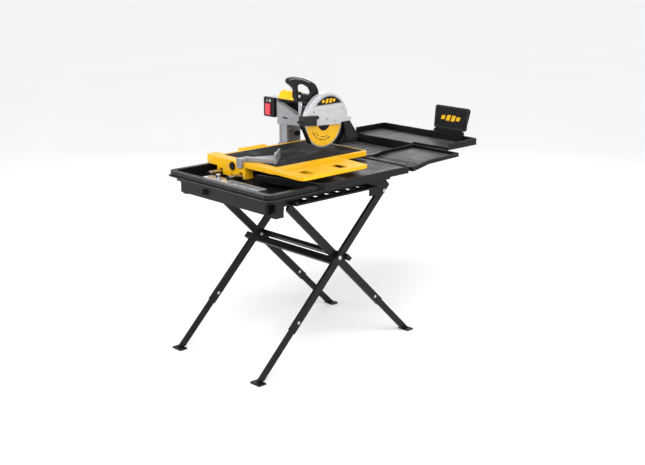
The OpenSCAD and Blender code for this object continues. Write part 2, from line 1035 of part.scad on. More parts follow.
// Clamp on the front edge of the deck, with an arm to an upright plate across the table
module miter_fence() {
    color("#c4c6c8")
        place()
            union() {
                block([-126, deck_front - 12, 928], [-86, deck_front - gap, 972]);
                block([-126, deck_front - 12, table_z + 0.6], [-86, -205, 972]);
                translate([0, 0, table_z + 0.8])
                    linear_extrude(20)
                        polygon([[-96, -244], [-88, -216], [-34, -88], [-20, -88], [46, -158], [36, -176]]);
                translate([-8, -118, table_z + 0.8])
                    cylinder(h = 34, r = 12);
                translate([0, 0, table_z + 0.8])
                    linear_extrude(48)
                        polygon([[56, -188], [62, -183], [-42, -62], [-48, -67]]);
            }
}

module fence_knob() {
    color("#151515")
        place()
            union() {
                rod_y(knob_x, deck_front, deck_front + 36, knob_z, 5);
                difference() {
                    rod_y(knob_x, deck_front - 8, deck_front + 10, knob_z, 20);
                    for (a = [0:60:300])
                        rod_y(knob_x + 23 * cos(a), deck_front - 9, deck_front + 11, knob_z + 23 * sin(a), 7);
                }
            }
}

// ---- trays ----

module side_tray() {
    color("#242528")
        place()
            difference() {
                translate([0, 0, 884])
                    linear_extrude(34)
                        polygon(side_tray_outline(0));
                translate([0, 0, 913])
                    linear_extrude(30)
                        polygon(side_tray_outline(4));
                translate([0, 0, 880])
                    linear_extrude(29)
                        polygon(side_tray_outline(4));
                block([350, -400, 870], [380, 420, rim_z + gap]);
                block([40, 380, 870], [420, 420, rim_z + gap]);
            }
}

function side_tray_outline(inset) = [
    [40 + inset, -282 + inset * 1.2], [352, -212 + inset], [390 - inset, -194 + inset],
    [408 - inset, -160], [408 - inset, 386 - inset], [40 + inset, 386 - inset]
];

module rear_right_tray() {
    color("#26272a")
        place()
            union() {
                difference() {
                    slab_x(64, 386)
                        polygon([[434, 880], [434, 902], [560, 922], [790, 926], [790, 906], [560, 900],
                                 [452, 880]]);
                    slab_x(68, 382)
                        polygon([[438, 886], [438, 930], [786, 930], [786, 910], [560, 904], [450, 884]]);
                }
                block([90, 420, rim_z + gap], [350, 438, rim_z + 3]);
                block([90, 434, 890], [350, 438, rim_z + 3]);
            }
}

module rear_tray() {
    color("#242528")
        place()
            union() {
                difference() {
                    union() {
                        block([-tub_half, 434, 876], [58, 804, 912]);
                        block([-tub_half, 800, 924], [302, 1036, 960]);
                        block([-tub_half, 800, 876], [58, 806, 930]);
                        translate([0, 806, 0])
                            rotate([90, 0, 0])
                                linear_extrude(6)
                                    polygon([[56, 896], [56, 925], [168, 925]]);
                        block([-tub_half, 740, 876], [-tub_half + 4, 804, 930]);
                    }
                    block([-tub_half + 4, 438, 880], [54, 800, 913]);
                    block([-tub_half + 4, 804, 928], [298, 1032, 961]);
                    block([-tub_half + 4, 790, 928], [54, 810, 961]);
                    block([50, 790, 938], [310, 810, 961]);
                }
                block([-340, 420, rim_z + gap], [40, 438, rim_z + 3]);
                block([-6, 1008, 928], [218, 1027, 967]);
                rod_x(8, 206, flap_y, flap_z, 3);
                for (x = [4, 206]) {
                    rod_x(x, x + 6, flap_y, flap_z, 6.5);
                    block([x, 1029, 958], [x + 6, 1041, flap_z]);
                }
            }
}

// Upright splash board on the rear edge, hinged at its foot
module splash_flap() {
    color("#1a1b1d")
        place()
            difference() {
                translate([0, flap_y, flap_z])
                    rotate([-flap_lean, 0, 0])
                        union() {
                            translate([0, flap_t / 2, 0])
                                rotate([90, 0, 0])
                                    linear_extrude(flap_t)
                                        polygon([[14, 8], [206, 8], [220, 14], [226, 28], [240, 118],
                                                 [238, 130], [226, flap_h], [10, flap_h], [0, 134],
                                                 [-4, 122], [0, 20], [4, 12]]);
                            rod_x(14, 202, 0, 0, 7);
                            block([14, -flap_t / 2, 0], [202, flap_t / 2, 12]);
                        }
                rod_x(-10, 250, flap_y, flap_z, 3 + pin_fit);
            }
}

// ---- nodes ----

outer_leg_right();
outer_leg_left();
inner_leg_right();
inner_leg_left();
outer_foot_leg_right();
outer_foot_leg_left();
inner_foot_leg_right();
inner_foot_leg_left();
outer_crossbar();
inner_crossbar();
pivot_bolts();
outer_leg_bolts();
inner_leg_bolts();
leg_glides();
top_hinge_bolts();
base_frame();
tub();
cart_rails();
rail_crossbar();
water_pump();
drain_plug();
column();
column_base();
plunge_pin();
plunge_lock_knob();
arm();
switch_box();
switch_paddle();
belt_case();
motor_housing();
motor_cover();
stator();
bearings();
drive_belt();
armature();
handle();
head_lock_knob();
height_rod();
blade_guard();
guard_badge();
guard_screws();
nozzle_block();
front_flap();
rear_shroud();
rear_flap();
spindle();
blade();
blade_flanges();
arbor_nut();
cart_frame();
cutting_mat();
front_wheels();
rear_wheels();
side_extension();
miter_fence();
fence_knob();
side_tray();
rear_right_tray();
rear_tray();
splash_flap();
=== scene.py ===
"""Wet tile saw on a folding stand: materials, moulded and machined detail, light and camera."""
import json
import math

import bmesh
import bpy
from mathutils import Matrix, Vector


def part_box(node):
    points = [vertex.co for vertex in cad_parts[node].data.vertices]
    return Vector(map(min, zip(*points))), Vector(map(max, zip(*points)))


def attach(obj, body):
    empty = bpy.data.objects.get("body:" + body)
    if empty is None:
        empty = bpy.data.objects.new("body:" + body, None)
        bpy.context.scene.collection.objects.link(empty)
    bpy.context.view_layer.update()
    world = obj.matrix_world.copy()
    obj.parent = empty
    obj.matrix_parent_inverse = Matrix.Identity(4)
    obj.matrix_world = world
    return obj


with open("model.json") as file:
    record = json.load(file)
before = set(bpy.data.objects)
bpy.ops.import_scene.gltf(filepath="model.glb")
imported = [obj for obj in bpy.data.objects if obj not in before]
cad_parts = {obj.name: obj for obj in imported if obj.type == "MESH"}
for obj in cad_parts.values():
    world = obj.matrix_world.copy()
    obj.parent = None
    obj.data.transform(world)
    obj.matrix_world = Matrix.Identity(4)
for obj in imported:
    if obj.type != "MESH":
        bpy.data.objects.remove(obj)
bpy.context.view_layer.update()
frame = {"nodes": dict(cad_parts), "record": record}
NODES = frame["nodes"]

# The crossing bolts lie on the middle plane of the stand, above the middle of the feet.
low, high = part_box("pivot_bolts")
ZERO = (low + high) / 2


def at(x, y, z):
    """Millimetres, X and Y from the middle of the stand and Z from the floor, to the row frame."""
    return Vector((ZERO.x + x / 1000, ZERO.y + y / 1000, z / 1000))


def span(node):
    """Low and high corner of a CAD node in stand millimetres."""
    lo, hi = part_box(node)
    return [((p.x - ZERO.x) * 1000, (p.y - ZERO.y) * 1000, p.z * 1000) for p in (lo, hi)]


# ------------------------------------------------------------------ materials

def linear(hex_colour):
    """Scene-linear RGBA of an sRGB colour written #rrggbb."""
    values = [int(hex_colour[i:i + 2], 16) / 255 for i in (1, 3, 5)]
    return tuple(v / 12.92 if v <= 0.04045 else ((v + 0.055) / 1.055) ** 2.4 for v in values) + (1.0,)


class Nodes:
    """Small helper over a material's node tree."""

    def __init__(self, name):
        self.mat = bpy.data.materials.new(name)
        self.mat.use_nodes = True
        self.tree = self.mat.node_tree
        self.shader = self.tree.nodes["Principled BSDF"]
        self.coords = self.add("ShaderNodeTexCoord").outputs["Object"]

    def add(self, kind, **settings):
        node = self.tree.nodes.new(kind)
        for key, value in settings.items():
            setattr(node, key, value)
        return node

    def put(self, socket, value):
        """Links a socket, or sets a plain value."""
        if isinstance(value, bpy.types.NodeSocket):
            self.tree.links.new(value, socket)
        else:
            socket.default_value = value

    def stretched(self, scale):
        """Object coordinates scaled in X, Y and Z."""
        node = self.add("ShaderNodeMapping")
        self.put(node.inputs["Vector"], self.coords)
        node.inputs["Scale"].default_value = scale
        return node.outputs["Vector"]

    def noise(self, scale, detail=4.0, rough=0.55, vector=None, distortion=0.0):
        node = self.add("ShaderNodeTexNoise")
        self.put(node.inputs["Vector"], vector or self.coords)
        node.inputs["Scale"].default_value = scale
        node.inputs["Detail"].default_value = detail
        node.inputs["Roughness"].default_value = rough
        node.inputs["Distortion"].default_value = distortion
        return node.outputs["Fac"]

    def cells(self, scale):
        """Distance to the nearest point of a random cell pattern."""
        node = self.add("ShaderNodeTexVoronoi")
        self.put(node.inputs["Vector"], self.coords)
        node.inputs["Scale"].default_value = scale
        return node.outputs["Distance"]

    def bands(self, period):
        """Sine bands across X, period in metres."""
        node = self.add("ShaderNodeTexWave", wave_type="BANDS", bands_direction="X", wave_profile="SIN")
        self.put(node.inputs["Vector"], self.coords)
        node.inputs["Scale"].default_value = 2 * math.pi / (20 * period)
        return node.outputs["Fac"]

    def remap(self, value, low, high, to_low=0.0, to_high=1.0):
        node = self.add("ShaderNodeMapRange")
        self.put(node.inputs["Value"], value)
        for key, number in (("From Min", low), ("From Max", high), ("To Min", to_low), ("To Max", to_high)):
            node.inputs[key].default_value = number
        return node.outputs["Result"]

    def math(self, operation, a, b):
        node = self.add("ShaderNodeMath", operation=operation)
        self.put(node.inputs[0], a)
        self.put(node.inputs[1], b)
        return node.outputs[0]

    def mix(self, factor, a, b):
        """Blend of two colours."""
        node = self.add("ShaderNodeMix", data_type="RGBA")
        self.put(node.inputs["Factor"], factor)
        self.put(node.inputs["A"], a)
        self.put(node.inputs["B"], b)
        return node.outputs["Result"]

    def blend(self, factor, a, b):
        """Blend of two numbers."""
        node = self.add("ShaderNodeMix", data_type="FLOAT")
        self.put(node.inputs[0], factor)
        self.put(node.inputs[2], a)
        self.put(node.inputs[3], b)
        return node.outputs[0]

    def edges(self, radius):
        """1 along convex and concave edges, 0 on flat faces."""
        bevel = self.add("ShaderNodeBevel", samples=4)
        bevel.inputs["Radius"].default_value = radius
        flat = self.add("ShaderNodeNewGeometry").outputs["Normal"]
        dot = self.add("ShaderNodeVectorMath", operation="DOT_PRODUCT")
        self.put(dot.inputs[0], bevel.outputs["Normal"])
        self.put(dot.inputs[1], flat)
        return self.remap(dot.outputs["Value"], 0.985, 0.80)

    def upward(self):
        """1 on faces that look up, 0 on walls and undersides."""
        parts = self.add("ShaderNodeSeparateXYZ")
        self.put(parts.inputs[0], self.add("ShaderNodeNewGeometry").outputs["Normal"])
        return self.remap(parts.outputs["Z"], 0.2, 0.95)

    def bump(self, height, strength, distance, under=None):
        node = self.add("ShaderNodeBump")
        self.put(node.inputs["Height"], height)
        node.inputs["Strength"].default_value = strength
        node.inputs["Distance"].default_value = distance
        if under is not None:
            self.put(node.inputs["Normal"], under)
        return node.outputs["Normal"]

    def close(self, colour, rough, metallic=0.0, normal=None, coat=0.0, coat_rough=0.1, specular=0.5):
        """Feeds the shader and returns the material."""
        s = self.shader.inputs
        self.put(s["Base Color"], colour)
        self.put(s["Roughness"], rough)
        self.put(s["Metallic"], metallic)
        s["Specular IOR Level"].default_value = specular
        s["Coat Weight"].default_value = coat
        s["Coat Roughness"].default_value = coat_rough
        if normal is not None:
            self.put(s["Normal"], normal)
        return self.mat


def paint(name, base, shade, worn, rough, peel, wear, dust, specular):
    """Powder coat: slight orange peel, uneven tone, bare metal where edges rub, dust on top faces."""
    n = Nodes(name)
    broad = n.remap(n.noise(7.0, 5.0), 0.32, 0.68)
    tone = n.mix(broad, linear(base), linear(shade))
    patchy = n.remap(n.noise(60.0, 6.0, 0.7), 0.52, 0.66)
    rubbed = n.math("MULTIPLY", n.math("MULTIPLY", n.edges(0.0016), patchy), wear)
    fine = n.stretched((900.0, 60.0, 320.0))
    scuffs = n.remap(n.noise(1.0, 3.0, 0.6, fine), 0.70, 0.80, 0.0, 0.30)
    tone = n.mix(scuffs, tone, linear(worn))
    settled = n.math("MULTIPLY", n.upward(), n.remap(n.noise(24.0, 7.0, 0.7), 0.45, 0.75, 0.0, dust))
    tone = n.mix(settled, tone, linear("#a9a59d"))
    tone = n.mix(rubbed, tone, linear(worn))
    gloss = n.remap(n.noise(38.0, 5.0, 0.65), 0.3, 0.7, rough - 0.07, rough + 0.09)
    gloss = n.blend(settled, gloss, 0.85)
    normal = n.bump(n.noise(620.0, 2.0, 0.5), peel, 0.00025)
    normal = n.bump(n.noise(2600.0, 1.0, 0.5), peel * 0.5, 0.0001, normal)
    bare = n.math("MULTIPLY", rubbed, 0.9)
    return n.close(tone, gloss, bare, normal, 0.0, 0.15, specular)


def plastic(name, base, shade, rough, grain, scale, dust, coat=0.0, specular=0.5, splash=0.0):
    """Moulded plastic with a pebbled grain, faint flow marks, glossy edges painted a lighter grey as a sheen,
    and dry slurry marks.
    """
    n = Nodes(name)
    flow = n.remap(n.noise(5.0, 4.0, 0.5, n.stretched((1.0, 0.35, 1.4)), 0.6), 0.3, 0.7)
    tone = n.mix(flow, linear(base), linear(shade))
    polish_and_sheen = n.math("MULTIPLY", n.edges(0.0022), n.remap(n.noise(42.0, 5.0), 0.4, 0.65, 0.15, 0.75))
    # Painted sheen: the polished edges are painted towards a light grey; their lower roughness is set further
    # down.
    tone = n.mix(n.math("MULTIPLY", polish_and_sheen, 0.16), tone, linear("#6b6e72"))
    settled = n.math("MULTIPLY", n.upward(), n.remap(n.noise(30.0, 8.0, 0.75), 0.45, 0.78, 0.0, dust))
    tone = n.mix(settled, tone, linear("#a6a39c"))
    if splash:
        ring = n.remap(n.cells(34.0), 0.02, 0.10, splash, 0.0)
        film = n.math("MULTIPLY", ring, n.remap(n.noise(15.0, 5.0), 0.45, 0.62))
        tone = n.mix(film, tone, linear("#bdbab3"))
    gloss = n.remap(n.noise(26.0, 5.0, 0.6), 0.3, 0.7, rough - 0.08, rough + 0.10)
    gloss = n.blend(n.math("MULTIPLY", polish_and_sheen, 0.5), gloss, rough * 0.6)
    gloss = n.blend(settled, gloss, 0.9)
    pebble = n.math("ADD", n.math("MULTIPLY", n.cells(scale), 0.6), n.noise(scale * 1.6, 2.0))
    normal = n.bump(pebble, grain, 0.00018)
    normal = n.bump(n.noise(90.0, 3.0), 0.08, 0.0006, normal)
    return n.close(tone, gloss, 0.0, normal, coat, 0.2, specular)


def metal(name, base, shade, rough, along, streak, pit, stain="#6d6a64", stained=0.25):
    """Plated or ground metal: directional grinding lines, small pits, dull stains."""
    n = Nodes(name)
    lines = n.noise(1.0, 3.0, 0.6, n.stretched(tuple(2400.0 * a for a in along)))
    broad = n.remap(n.noise(18.0, 6.0, 0.65), 0.35, 0.65)
    tone = n.mix(broad, linear(base), linear(shade))
    tone = n.mix(n.remap(lines, 0.35, 0.75, 0.0, 0.22), tone, linear(stain))
    dull = n.remap(n.noise(70.0, 7.0, 0.75), 0.56, 0.74, 0.0, stained)
    tone = n.mix(dull, tone, linear(stain))
    gloss = n.remap(lines, 0.3, 0.7, rough - 0.08, rough + 0.12)
    gloss = n.blend(dull, gloss, 0.75)
    normal = n.bump(lines, streak, 0.00012)
    normal = n.bump(n.noise(520.0, 4.0, 0.7), pit, 0.0002, normal)
    return n.close(tone, gloss, 1.0, normal)


def casting(name, base, shade, rough, sand=0.55, metallic=0.35, coat=0.15, grime=0.45):
    """Die casting under silver lacquer: sand grain, painted shade darkening the corners, bright rubbed edges.
    """
    n = Nodes(name)
    broad = n.remap(n.noise(9.0, 6.0, 0.6), 0.3, 0.7)
    tone = n.mix(broad, linear(base), linear(shade))
    speck = n.remap(n.noise(1700.0, 2.0, 0.6), 0.40, 0.70, 0.0, 0.22)
    tone = n.mix(speck, tone, linear("#f4f5f6"))
    # Painted shade: ambient occlusion darkens the corners and hollows towards a dull grey.
    corner_occlusion = n.add("ShaderNodeAmbientOcclusion", samples=6)
    corner_occlusion.inputs["Distance"].default_value = 0.018
    dark = n.math("MULTIPLY", n.remap(corner_occlusion.outputs["AO"], 0.95, 0.35, 0.0, grime),
                  n.remap(n.noise(45.0, 7.0, 0.7), 0.3, 0.6, 0.35, 1.0))
    tone = n.mix(dark, tone, linear("#55534e"))
    bright = n.math("MULTIPLY", n.edges(0.0018), n.remap(n.noise(75.0, 6.0), 0.45, 0.62))
    tone = n.mix(n.math("MULTIPLY", bright, 0.55), tone, linear("#f2f3f4"))
    gloss = n.remap(n.noise(50.0, 5.0, 0.6), 0.3, 0.7, rough - 0.08, rough + 0.12)
    gloss = n.blend(dark, gloss, 0.85)
    normal = n.bump(n.noise(1150.0, 3.0, 0.6), sand, 0.00022)
    normal = n.bump(n.noise(110.0, 3.0), 0.12, 0.0006, normal)
    return n.close(tone, gloss, metallic, normal, coat, 0.25)


def rubber(name, base, shade, rough):
    """Matt rubber with talc bloom and settled dust."""
    n = Nodes(name)
    bloom = n.remap(n.noise(32.0, 8.0, 0.75), 0.35, 0.72)
    tone = n.mix(n.math("MULTIPLY", bloom, 0.7), linear(base), linear(shade))
    dusty = n.math("MULTIPLY", n.upward(), n.remap(n.noise(11.0, 7.0, 0.7), 0.5, 0.8, 0.0, 0.25))
    tone = n.mix(dusty, tone, linear("#a8a6a0"))
    gloss = n.remap(n.noise(80.0, 4.0), 0.3, 0.7, rough - 0.05, rough + 0.08)
    normal = n.bump(n.noise(1400.0, 3.0, 0.65), 0.4, 0.0002)
    return n.close(tone, gloss, 0.0, normal, 0.0, 0.1, 0.22)


def floor_tone_and_reflection(name, base, shade, rough):
    """Smooth floor of a catch tray, its grey partly its own tone and partly painted reflection of the studio:
    a patchy drying film of water and grey slurry.
    """
    n = Nodes(name)
    film = n.remap(n.noise(6.5, 7.0, 0.62, None, 0.8), 0.38, 0.62)
    tone = n.mix(film, linear(base), linear(shade))
    mud = n.remap(n.noise(85.0, 8.0, 0.75), 0.50, 0.75, 0.0, 0.4)
    tone = n.mix(n.math("MULTIPLY", mud, film), tone, linear("#98958f"))
    gloss = n.blend(film, rough, rough + 0.22)
    normal = n.bump(n.noise(26.0, 3.0, 0.5), 0.10, 0.0012)
    normal = n.bump(n.noise(1300.0, 2.0), 0.22, 0.00012, normal)
    return n.close(tone, gloss, 0.0, normal, 0.08, 0.3, 0.3)


def copper(name):
    """Varnished winding: tight turns of wire."""
    n = Nodes(name)
    turns = n.bands(0.0011)
    tone = n.mix(n.remap(turns, 0.1, 0.9), linear("#6e3b18"), linear("#c98245"))
    tone = n.mix(n.remap(n.noise(60.0, 5.0), 0.45, 0.7, 0.0, 0.4), tone, linear("#3a2416"))
    normal = n.bump(turns, 0.8, 0.0004)
    return n.close(tone, n.remap(n.noise(90.0), 0.3, 0.7, 0.25, 0.45), 0.85, normal, 0.4, 0.1)


def blade_finish(name, centre, core, hub):
    """Lacquered yellow core with a bare rim, a worn ring by the flanges and fine turning lines."""
    n = Nodes(name)
    offset = n.add("ShaderNodeVectorMath", operation="SUBTRACT")
    n.put(offset.inputs[0], n.coords)
    offset.inputs[1].default_value = centre
    flat = n.add("ShaderNodeVectorMath", operation="MULTIPLY")
    n.put(flat.inputs[0], offset.outputs[0])
    flat.inputs[1].default_value = (0.0, 1.0, 1.0)
    radius = n.add("ShaderNodeVectorMath", operation="LENGTH")
    n.put(radius.inputs[0], flat.outputs[0])
    r = n.math("ADD", radius.outputs["Value"], n.remap(n.noise(160.0, 4.0), 0.0, 1.0, -0.0006, 0.0006))
    rim = n.remap(r, core - 0.0003, core + 0.0003)
    worn = n.math("MULTIPLY", n.remap(r, hub + 0.004, hub, 0.0, 0.7), n.remap(n.noise(120.0, 5.0), 0.4, 0.6))
    scored = n.remap(n.noise(1.0, 2.0, 0.5), 0.3, 0.7)
    circles = n.add("ShaderNodeTexNoise", noise_dimensions="1D")
    n.put(circles.inputs["W"], n.math("MULTIPLY", radius.outputs["Value"], 1400.0))
    circles.inputs["Detail"].default_value = 3.0
    lines = circles.outputs["Fac"]
    yellow = n.mix(n.remap(n.noise(22.0, 5.0), 0.3, 0.7), linear("#fcc40a"), linear("#f5b906"))
    yellow = n.mix(n.remap(lines, 0.58, 0.75, 0.0, 0.25), yellow, linear("#b98a1c"))
    yellow = n.mix(worn, yellow, linear("#a9a79f"))
    steel = n.mix(n.remap(n.noise(900.0, 4.0, 0.7), 0.35, 0.7), linear("#d9dadb"), linear("#8f8c84"))
    tone = n.mix(rim, yellow, steel)
    tone = n.mix(n.math("MULTIPLY", scored, 0.04), tone, linear("#7c7a74"))
    gloss = n.blend(rim, 0.34, 0.42)
    normal = n.bump(lines, 0.25, 0.00015)
    grit = n.bump(n.math("MULTIPLY", n.noise(2200.0, 3.0, 0.8), rim), 0.8, 0.0004, normal)
    return n.close(tone, gloss, n.math("MAXIMUM", rim, n.math("MULTIPLY", worn, 0.8)), grit, 0.2, 0.2)


def handle_finish(name):
    """Over-moulded grip: black pebbled rubber, paler along its edges."""
    n = Nodes(name)
    tone = n.mix(n.remap(n.noise(30.0, 6.0), 0.3, 0.7), linear("#0d0d0e"), linear("#141416"))
    tone = n.mix(n.math("MULTIPLY", n.edges(0.004), 0.2), tone, linear("#4b4e52"))
    gloss = n.remap(n.noise(60.0, 5.0), 0.3, 0.7, 0.40, 0.56)
    return n.close(tone, gloss, 0.0, n.bump(n.cells(900.0), 0.4, 0.0003), 0.0, 0.1, 0.22)


M = {}


def finish(recipe, name, *colours, **settings):
    """Makes a material by one of the recipes above and keeps it under its name."""
    M[name] = recipe(name, *colours, **settings)


finish(paint, "black_steel", "#09090a", "#0e0e0f", "#55575a",
       rough=0.36, peel=0.22, wear=0.16, dust=0.03, specular=0.20)
finish(paint, "yellow_paint", "#f8bd05", "#f0b403", "#c09a50",
       rough=0.42, peel=0.22, wear=0.22, dust=0.03, specular=0.22)
finish(plastic, "yellow_plastic", "#f9c006", "#f2b804",
       rough=0.38, grain=0.15, scale=1900.0, dust=0.03, specular=0.28)
finish(plastic, "black_plastic", "#080809", "#0d0d0e",
       rough=0.42, grain=0.30, scale=1500.0, dust=0.03, specular=0.20)
finish(plastic, "tub_plastic", "#0a0a0b", "#101011",
       rough=0.40, grain=0.30, scale=1250.0, dust=0.04, specular=0.20, splash=0.10)
finish(plastic, "grey_plastic", "#1f2021", "#27282a",
       rough=0.46, grain=0.30, scale=1500.0, dust=0.05, specular=0.25)
finish(plastic, "blue_plastic", "#22303e", "#293a49",
       rough=0.34, grain=0.25, scale=1600.0, dust=0.14, coat=0.2)
finish(plastic, "red_plastic", "#d9303c", "#c92733",
       rough=0.30, grain=0.18, scale=1700.0, dust=0.05, coat=0.3)
finish(plastic, "white_plastic", "#e9eaea", "#dddedf",
       rough=0.36, grain=0.18, scale=1700.0, dust=0.04)
finish(plastic, "rim_black", "#1a1a1b", "#222223",
       rough=0.30, grain=0.20, scale=1500.0, dust=0.05)
# Light grey of the painted highlight strip on the handle.
finish(plastic, "highlight_grey", "#8f9194", "#7f8184",
       rough=0.38, grain=0.15, scale=1900.0, dust=0.05)
finish(casting, "silver_casting", "#87898c", "#7a7c80", rough=0.42)
finish(casting, "silver_paint", "#c6c8ca", "#b9bbbe",
       rough=0.38, sand=0.35, metallic=0.30, coat=0.25, grime=0.30)
# along is how fine the grinding lines are in X, Y and Z: the small value is the way that they run.
finish(metal, "zinc", "#c4c6c9", "#a9abae",
       rough=0.32, along=(0.15, 1.0, 1.0), streak=0.25, pit=0.25)
finish(metal, "steel", "#cfd1d4", "#b3b6ba",
       rough=0.26, along=(1.0, 0.03, 1.0), streak=0.22, pit=0.15, stain="#7b776f", stained=0.2)
finish(metal, "black_oxide", "#2a2a2b", "#1d1d1e",
       rough=0.42, along=(1.0, 1.0, 0.2), streak=0.25, pit=0.35, stain="#5a5652", stained=0.3)
finish(rubber, "rubber", "#0b0b0c", "#161617", rough=0.62)
finish(rubber, "mat_rubber", "#161718", "#232425", rough=0.62)
# The floors' lighter grey is partly painted reflection of the studio.
finish(floor_tone_and_reflection, "tray_floor", "#38393b", "#48494b", rough=0.42)
finish(floor_tone_and_reflection, "tray_floor_dark", "#242526", "#313234", rough=0.36)
finish(copper, "winding")
# Width of the blade's bare rim and radius of its flanges, in metres.
BARE_RIM = 0.0078
FLANGE_R = 0.040
low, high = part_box("blade")
finish(blade_finish, "blade_paint",
       centre=(low + high) / 2, core=(high.z - low.z) / 2 - BARE_RIM, hub=FLANGE_R)
finish(handle_finish, "handle_grip")

# Nodes whose finish isn't that of their slot in the record.
OWN = {"handle": "handle_grip"}
# Edge rounding of each CAD node in millimetres; the others get the small break.
SMALL_BREAK = 0.6
ROUND = {
    "cart_frame": 2.2, "side_extension": 2.6, "arm": 4.0, "column": 3.5, "column_base": 3.0, "belt_case": 4.0,
    "handle": 5.0, "blade_guard": 2.0, "switch_box": 2.0, "switch_paddle": 1.8, "motor_cover": 1.0,
    "miter_fence": 2.0, "nozzle_block": 1.6, "tub": 1.8, "side_tray": 1.4, "rear_tray": 1.6,
    "rear_right_tray": 1.6, "splash_flap": 1.6, "base_frame": 1.2, "rail_crossbar": 1.8, "front_flap": 1.5,
    "rear_shroud": 1.5, "rear_flap": 1.5, "head_lock_knob": 1.6, "fence_knob": 2.0, "plunge_lock_knob": 1.6,
    "leg_glides": 1.0, "drain_plug": 1.2, "cutting_mat": 0.8,
}

slot_of = {part["node"]: part["material_slot"] for part in frame["record"]["subparts"]}
for name, obj in NODES.items():
    mesh = obj.data
    mesh.materials.clear()
    mesh.materials.append(M[OWN.get(name, slot_of[name])])
    custom = mesh.attributes.get("custom_normal")
    if custom:
        mesh.attributes.remove(custom)
    for flag in ("sharp_edge", "sharp_face"):
        found = mesh.attributes.get(flag)
        if found:
            mesh.attributes.remove(found)
    mesh.polygons.foreach_set("use_smooth", [True] * len(mesh.polygons))
    weld = obj.modifiers.new("weld", "WELD")
    weld.merge_threshold = 2e-6
    planar = obj.modifiers.new("planar", "DECIMATE")
    planar.decimate_type = "DISSOLVE"
    planar.angle_limit = math.radians(0.4)
    bevel = obj.modifiers.new("edge_break", "BEVEL")
    rounding = ROUND.get(name, SMALL_BREAK)
    bevel.width = rounding / 1000
    bevel.segments = 3 if rounding > 1.5 else 2
    bevel.limit_method = "ANGLE"
    bevel.angle_limit = math.radians(40)
    bevel.miter_outer = "MITER_ARC"
    bevel.harden_normals = False
    weighted = obj.modifiers.new("weighted", "WEIGHTED_NORMAL")
    weighted.weight = 80
    weighted.keep_sharp = False


# ------------------------------------------------------------------ detail pieces


def add_piece(name, bm, body, material, bevel=0.0, smooth=True):
    """Makes an object of bm that rides on body; bevel is in millimetres."""
    bmesh.ops.recalc_face_normals(bm, faces=bm.faces)
    mesh = bpy.data.meshes.new(name)
    bm.to_mesh(mesh)
    bm.free()
    mesh.materials.append(M[material])
    mesh.polygons.foreach_set("use_smooth", [smooth] * len(mesh.polygons))
    obj = bpy.data.objects.new(name, mesh)
    bpy.context.scene.collection.objects.link(obj)
    if bevel:
        mod = obj.modifiers.new("edge_break", "BEVEL")
        mod.width = bevel / 1000
        mod.segments = 2
        mod.limit_method = "ANGLE"
        mod.angle_limit = math.radians(35)
    if smooth:
        weighted = obj.modifiers.new("weighted", "WEIGHTED_NORMAL")
        weighted.weight = 80
    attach(obj, body)


def prism(bm, outline, place, low, high):
    """Closed outline in 2-D, extruded from low to high; place(u, v, w) gives the point in the row frame."""
    bottom = [bm.verts.new(place(u, v, low)) for u, v in outline]
    top = [bm.verts.new(place(u, v, high)) for u, v in outline]
    bm.faces.new(bottom[::-1])
    bm.faces.new(top)
    count = len(outline)
    for i in range(count):
        j = (i + 1) % count
        bm.faces.new((bottom[i], bottom[j], top[j], top[i]))


def slab(bm, low, high):
    """Box from corner to corner, in stand millimetres."""
    corners = [(low[0], low[1]), (high[0], low[1]), (high[0], high[1]), (low[0], high[1])]
    prism(bm, corners, at, low[2], high[2])


def along_x(u, v, w):
    """Outline in Y and Z, extruded along X."""
    return at(w, u, v)


def along_y(u, v, w):
    """Outline in X and Z, extruded along Y."""
    return at(u, w, v)


def tube(bm, points, radius, closed=False, sides=10, wobble=None):
    """Round bar along points of the row frame."""
    count = len(points)
    rings = []
    up = Vector((0, 0, 1))
    for i, p in enumerate(points):
        if closed:
            along = points[(i + 1) % count] - points[i - 1]
        else:
            along = points[min(i + 1, count - 1)] - points[max(i - 1, 0)]
        along = along.normalized()
        side = along.cross(up)
        if side.length < 1e-4:
            side = along.cross(Vector((0, 1, 0)))
        side.normalize()
        other = along.cross(side)
        r = radius * (wobble(i) if wobble else 1.0)
        turns = [2 * math.pi * k / sides for k in range(sides)]
        rings.append([bm.verts.new(p + (side * math.cos(t) + other * math.sin(t)) * r) for t in turns])
    for i in range(count if closed else count - 1):
        a, b = rings[i], rings[(i + 1) % count]
        for k in range(sides):
            bm.faces.new((a[k], a[(k + 1) % sides], b[(k + 1) % sides], b[k]))
    if not closed:
        bm.faces.new(rings[0][::-1])
        bm.faces.new(rings[-1])


def lathe(bm, centre, axis, profile, sides=32):
    """Profile of (radius, height) turned about an axis through centre, both in metres."""
    axis = axis.normalized()
    first = axis.orthogonal().normalized()
    second = axis.cross(first)
    turns = [2 * math.pi * k / sides for k in range(sides)]
    rings = []
    for radius, height in profile:
        if radius < 1e-7:
            rings.append([bm.verts.new(centre + axis * height)])
        else:
            rings.append([bm.verts.new(centre + axis * height
                                       + (first * math.cos(t) + second * math.sin(t)) * radius)
                          for t in turns])
    for a, b in zip(rings, rings[1:]):
        for k in range(sides):
            j = (k + 1) % sides
            if len(a) == 1 and len(b) == 1:
                continue
            if len(a) == 1:
                bm.faces.new((a[0], b[k], b[j]))
            elif len(b) == 1:
                bm.faces.new((a[k], a[j], b[0]))
            else:
                bm.faces.new((a[k], a[j], b[j], b[k]))


def screw(bm, centre, axis, r, height):
    """Button-head screw: washer, dome and a round socket."""
    lathe(bm, centre, axis,
          [(0, 0), (r, 0), (r, height * 0.25), (r * 0.97, height * 0.35), (r * 0.72, height * 0.4),
           (r * 0.68, height * 0.75), (r * 0.5, height), (r * 0.34, height), (r * 0.33, height * 0.45),
           (0, height * 0.45)], 24)


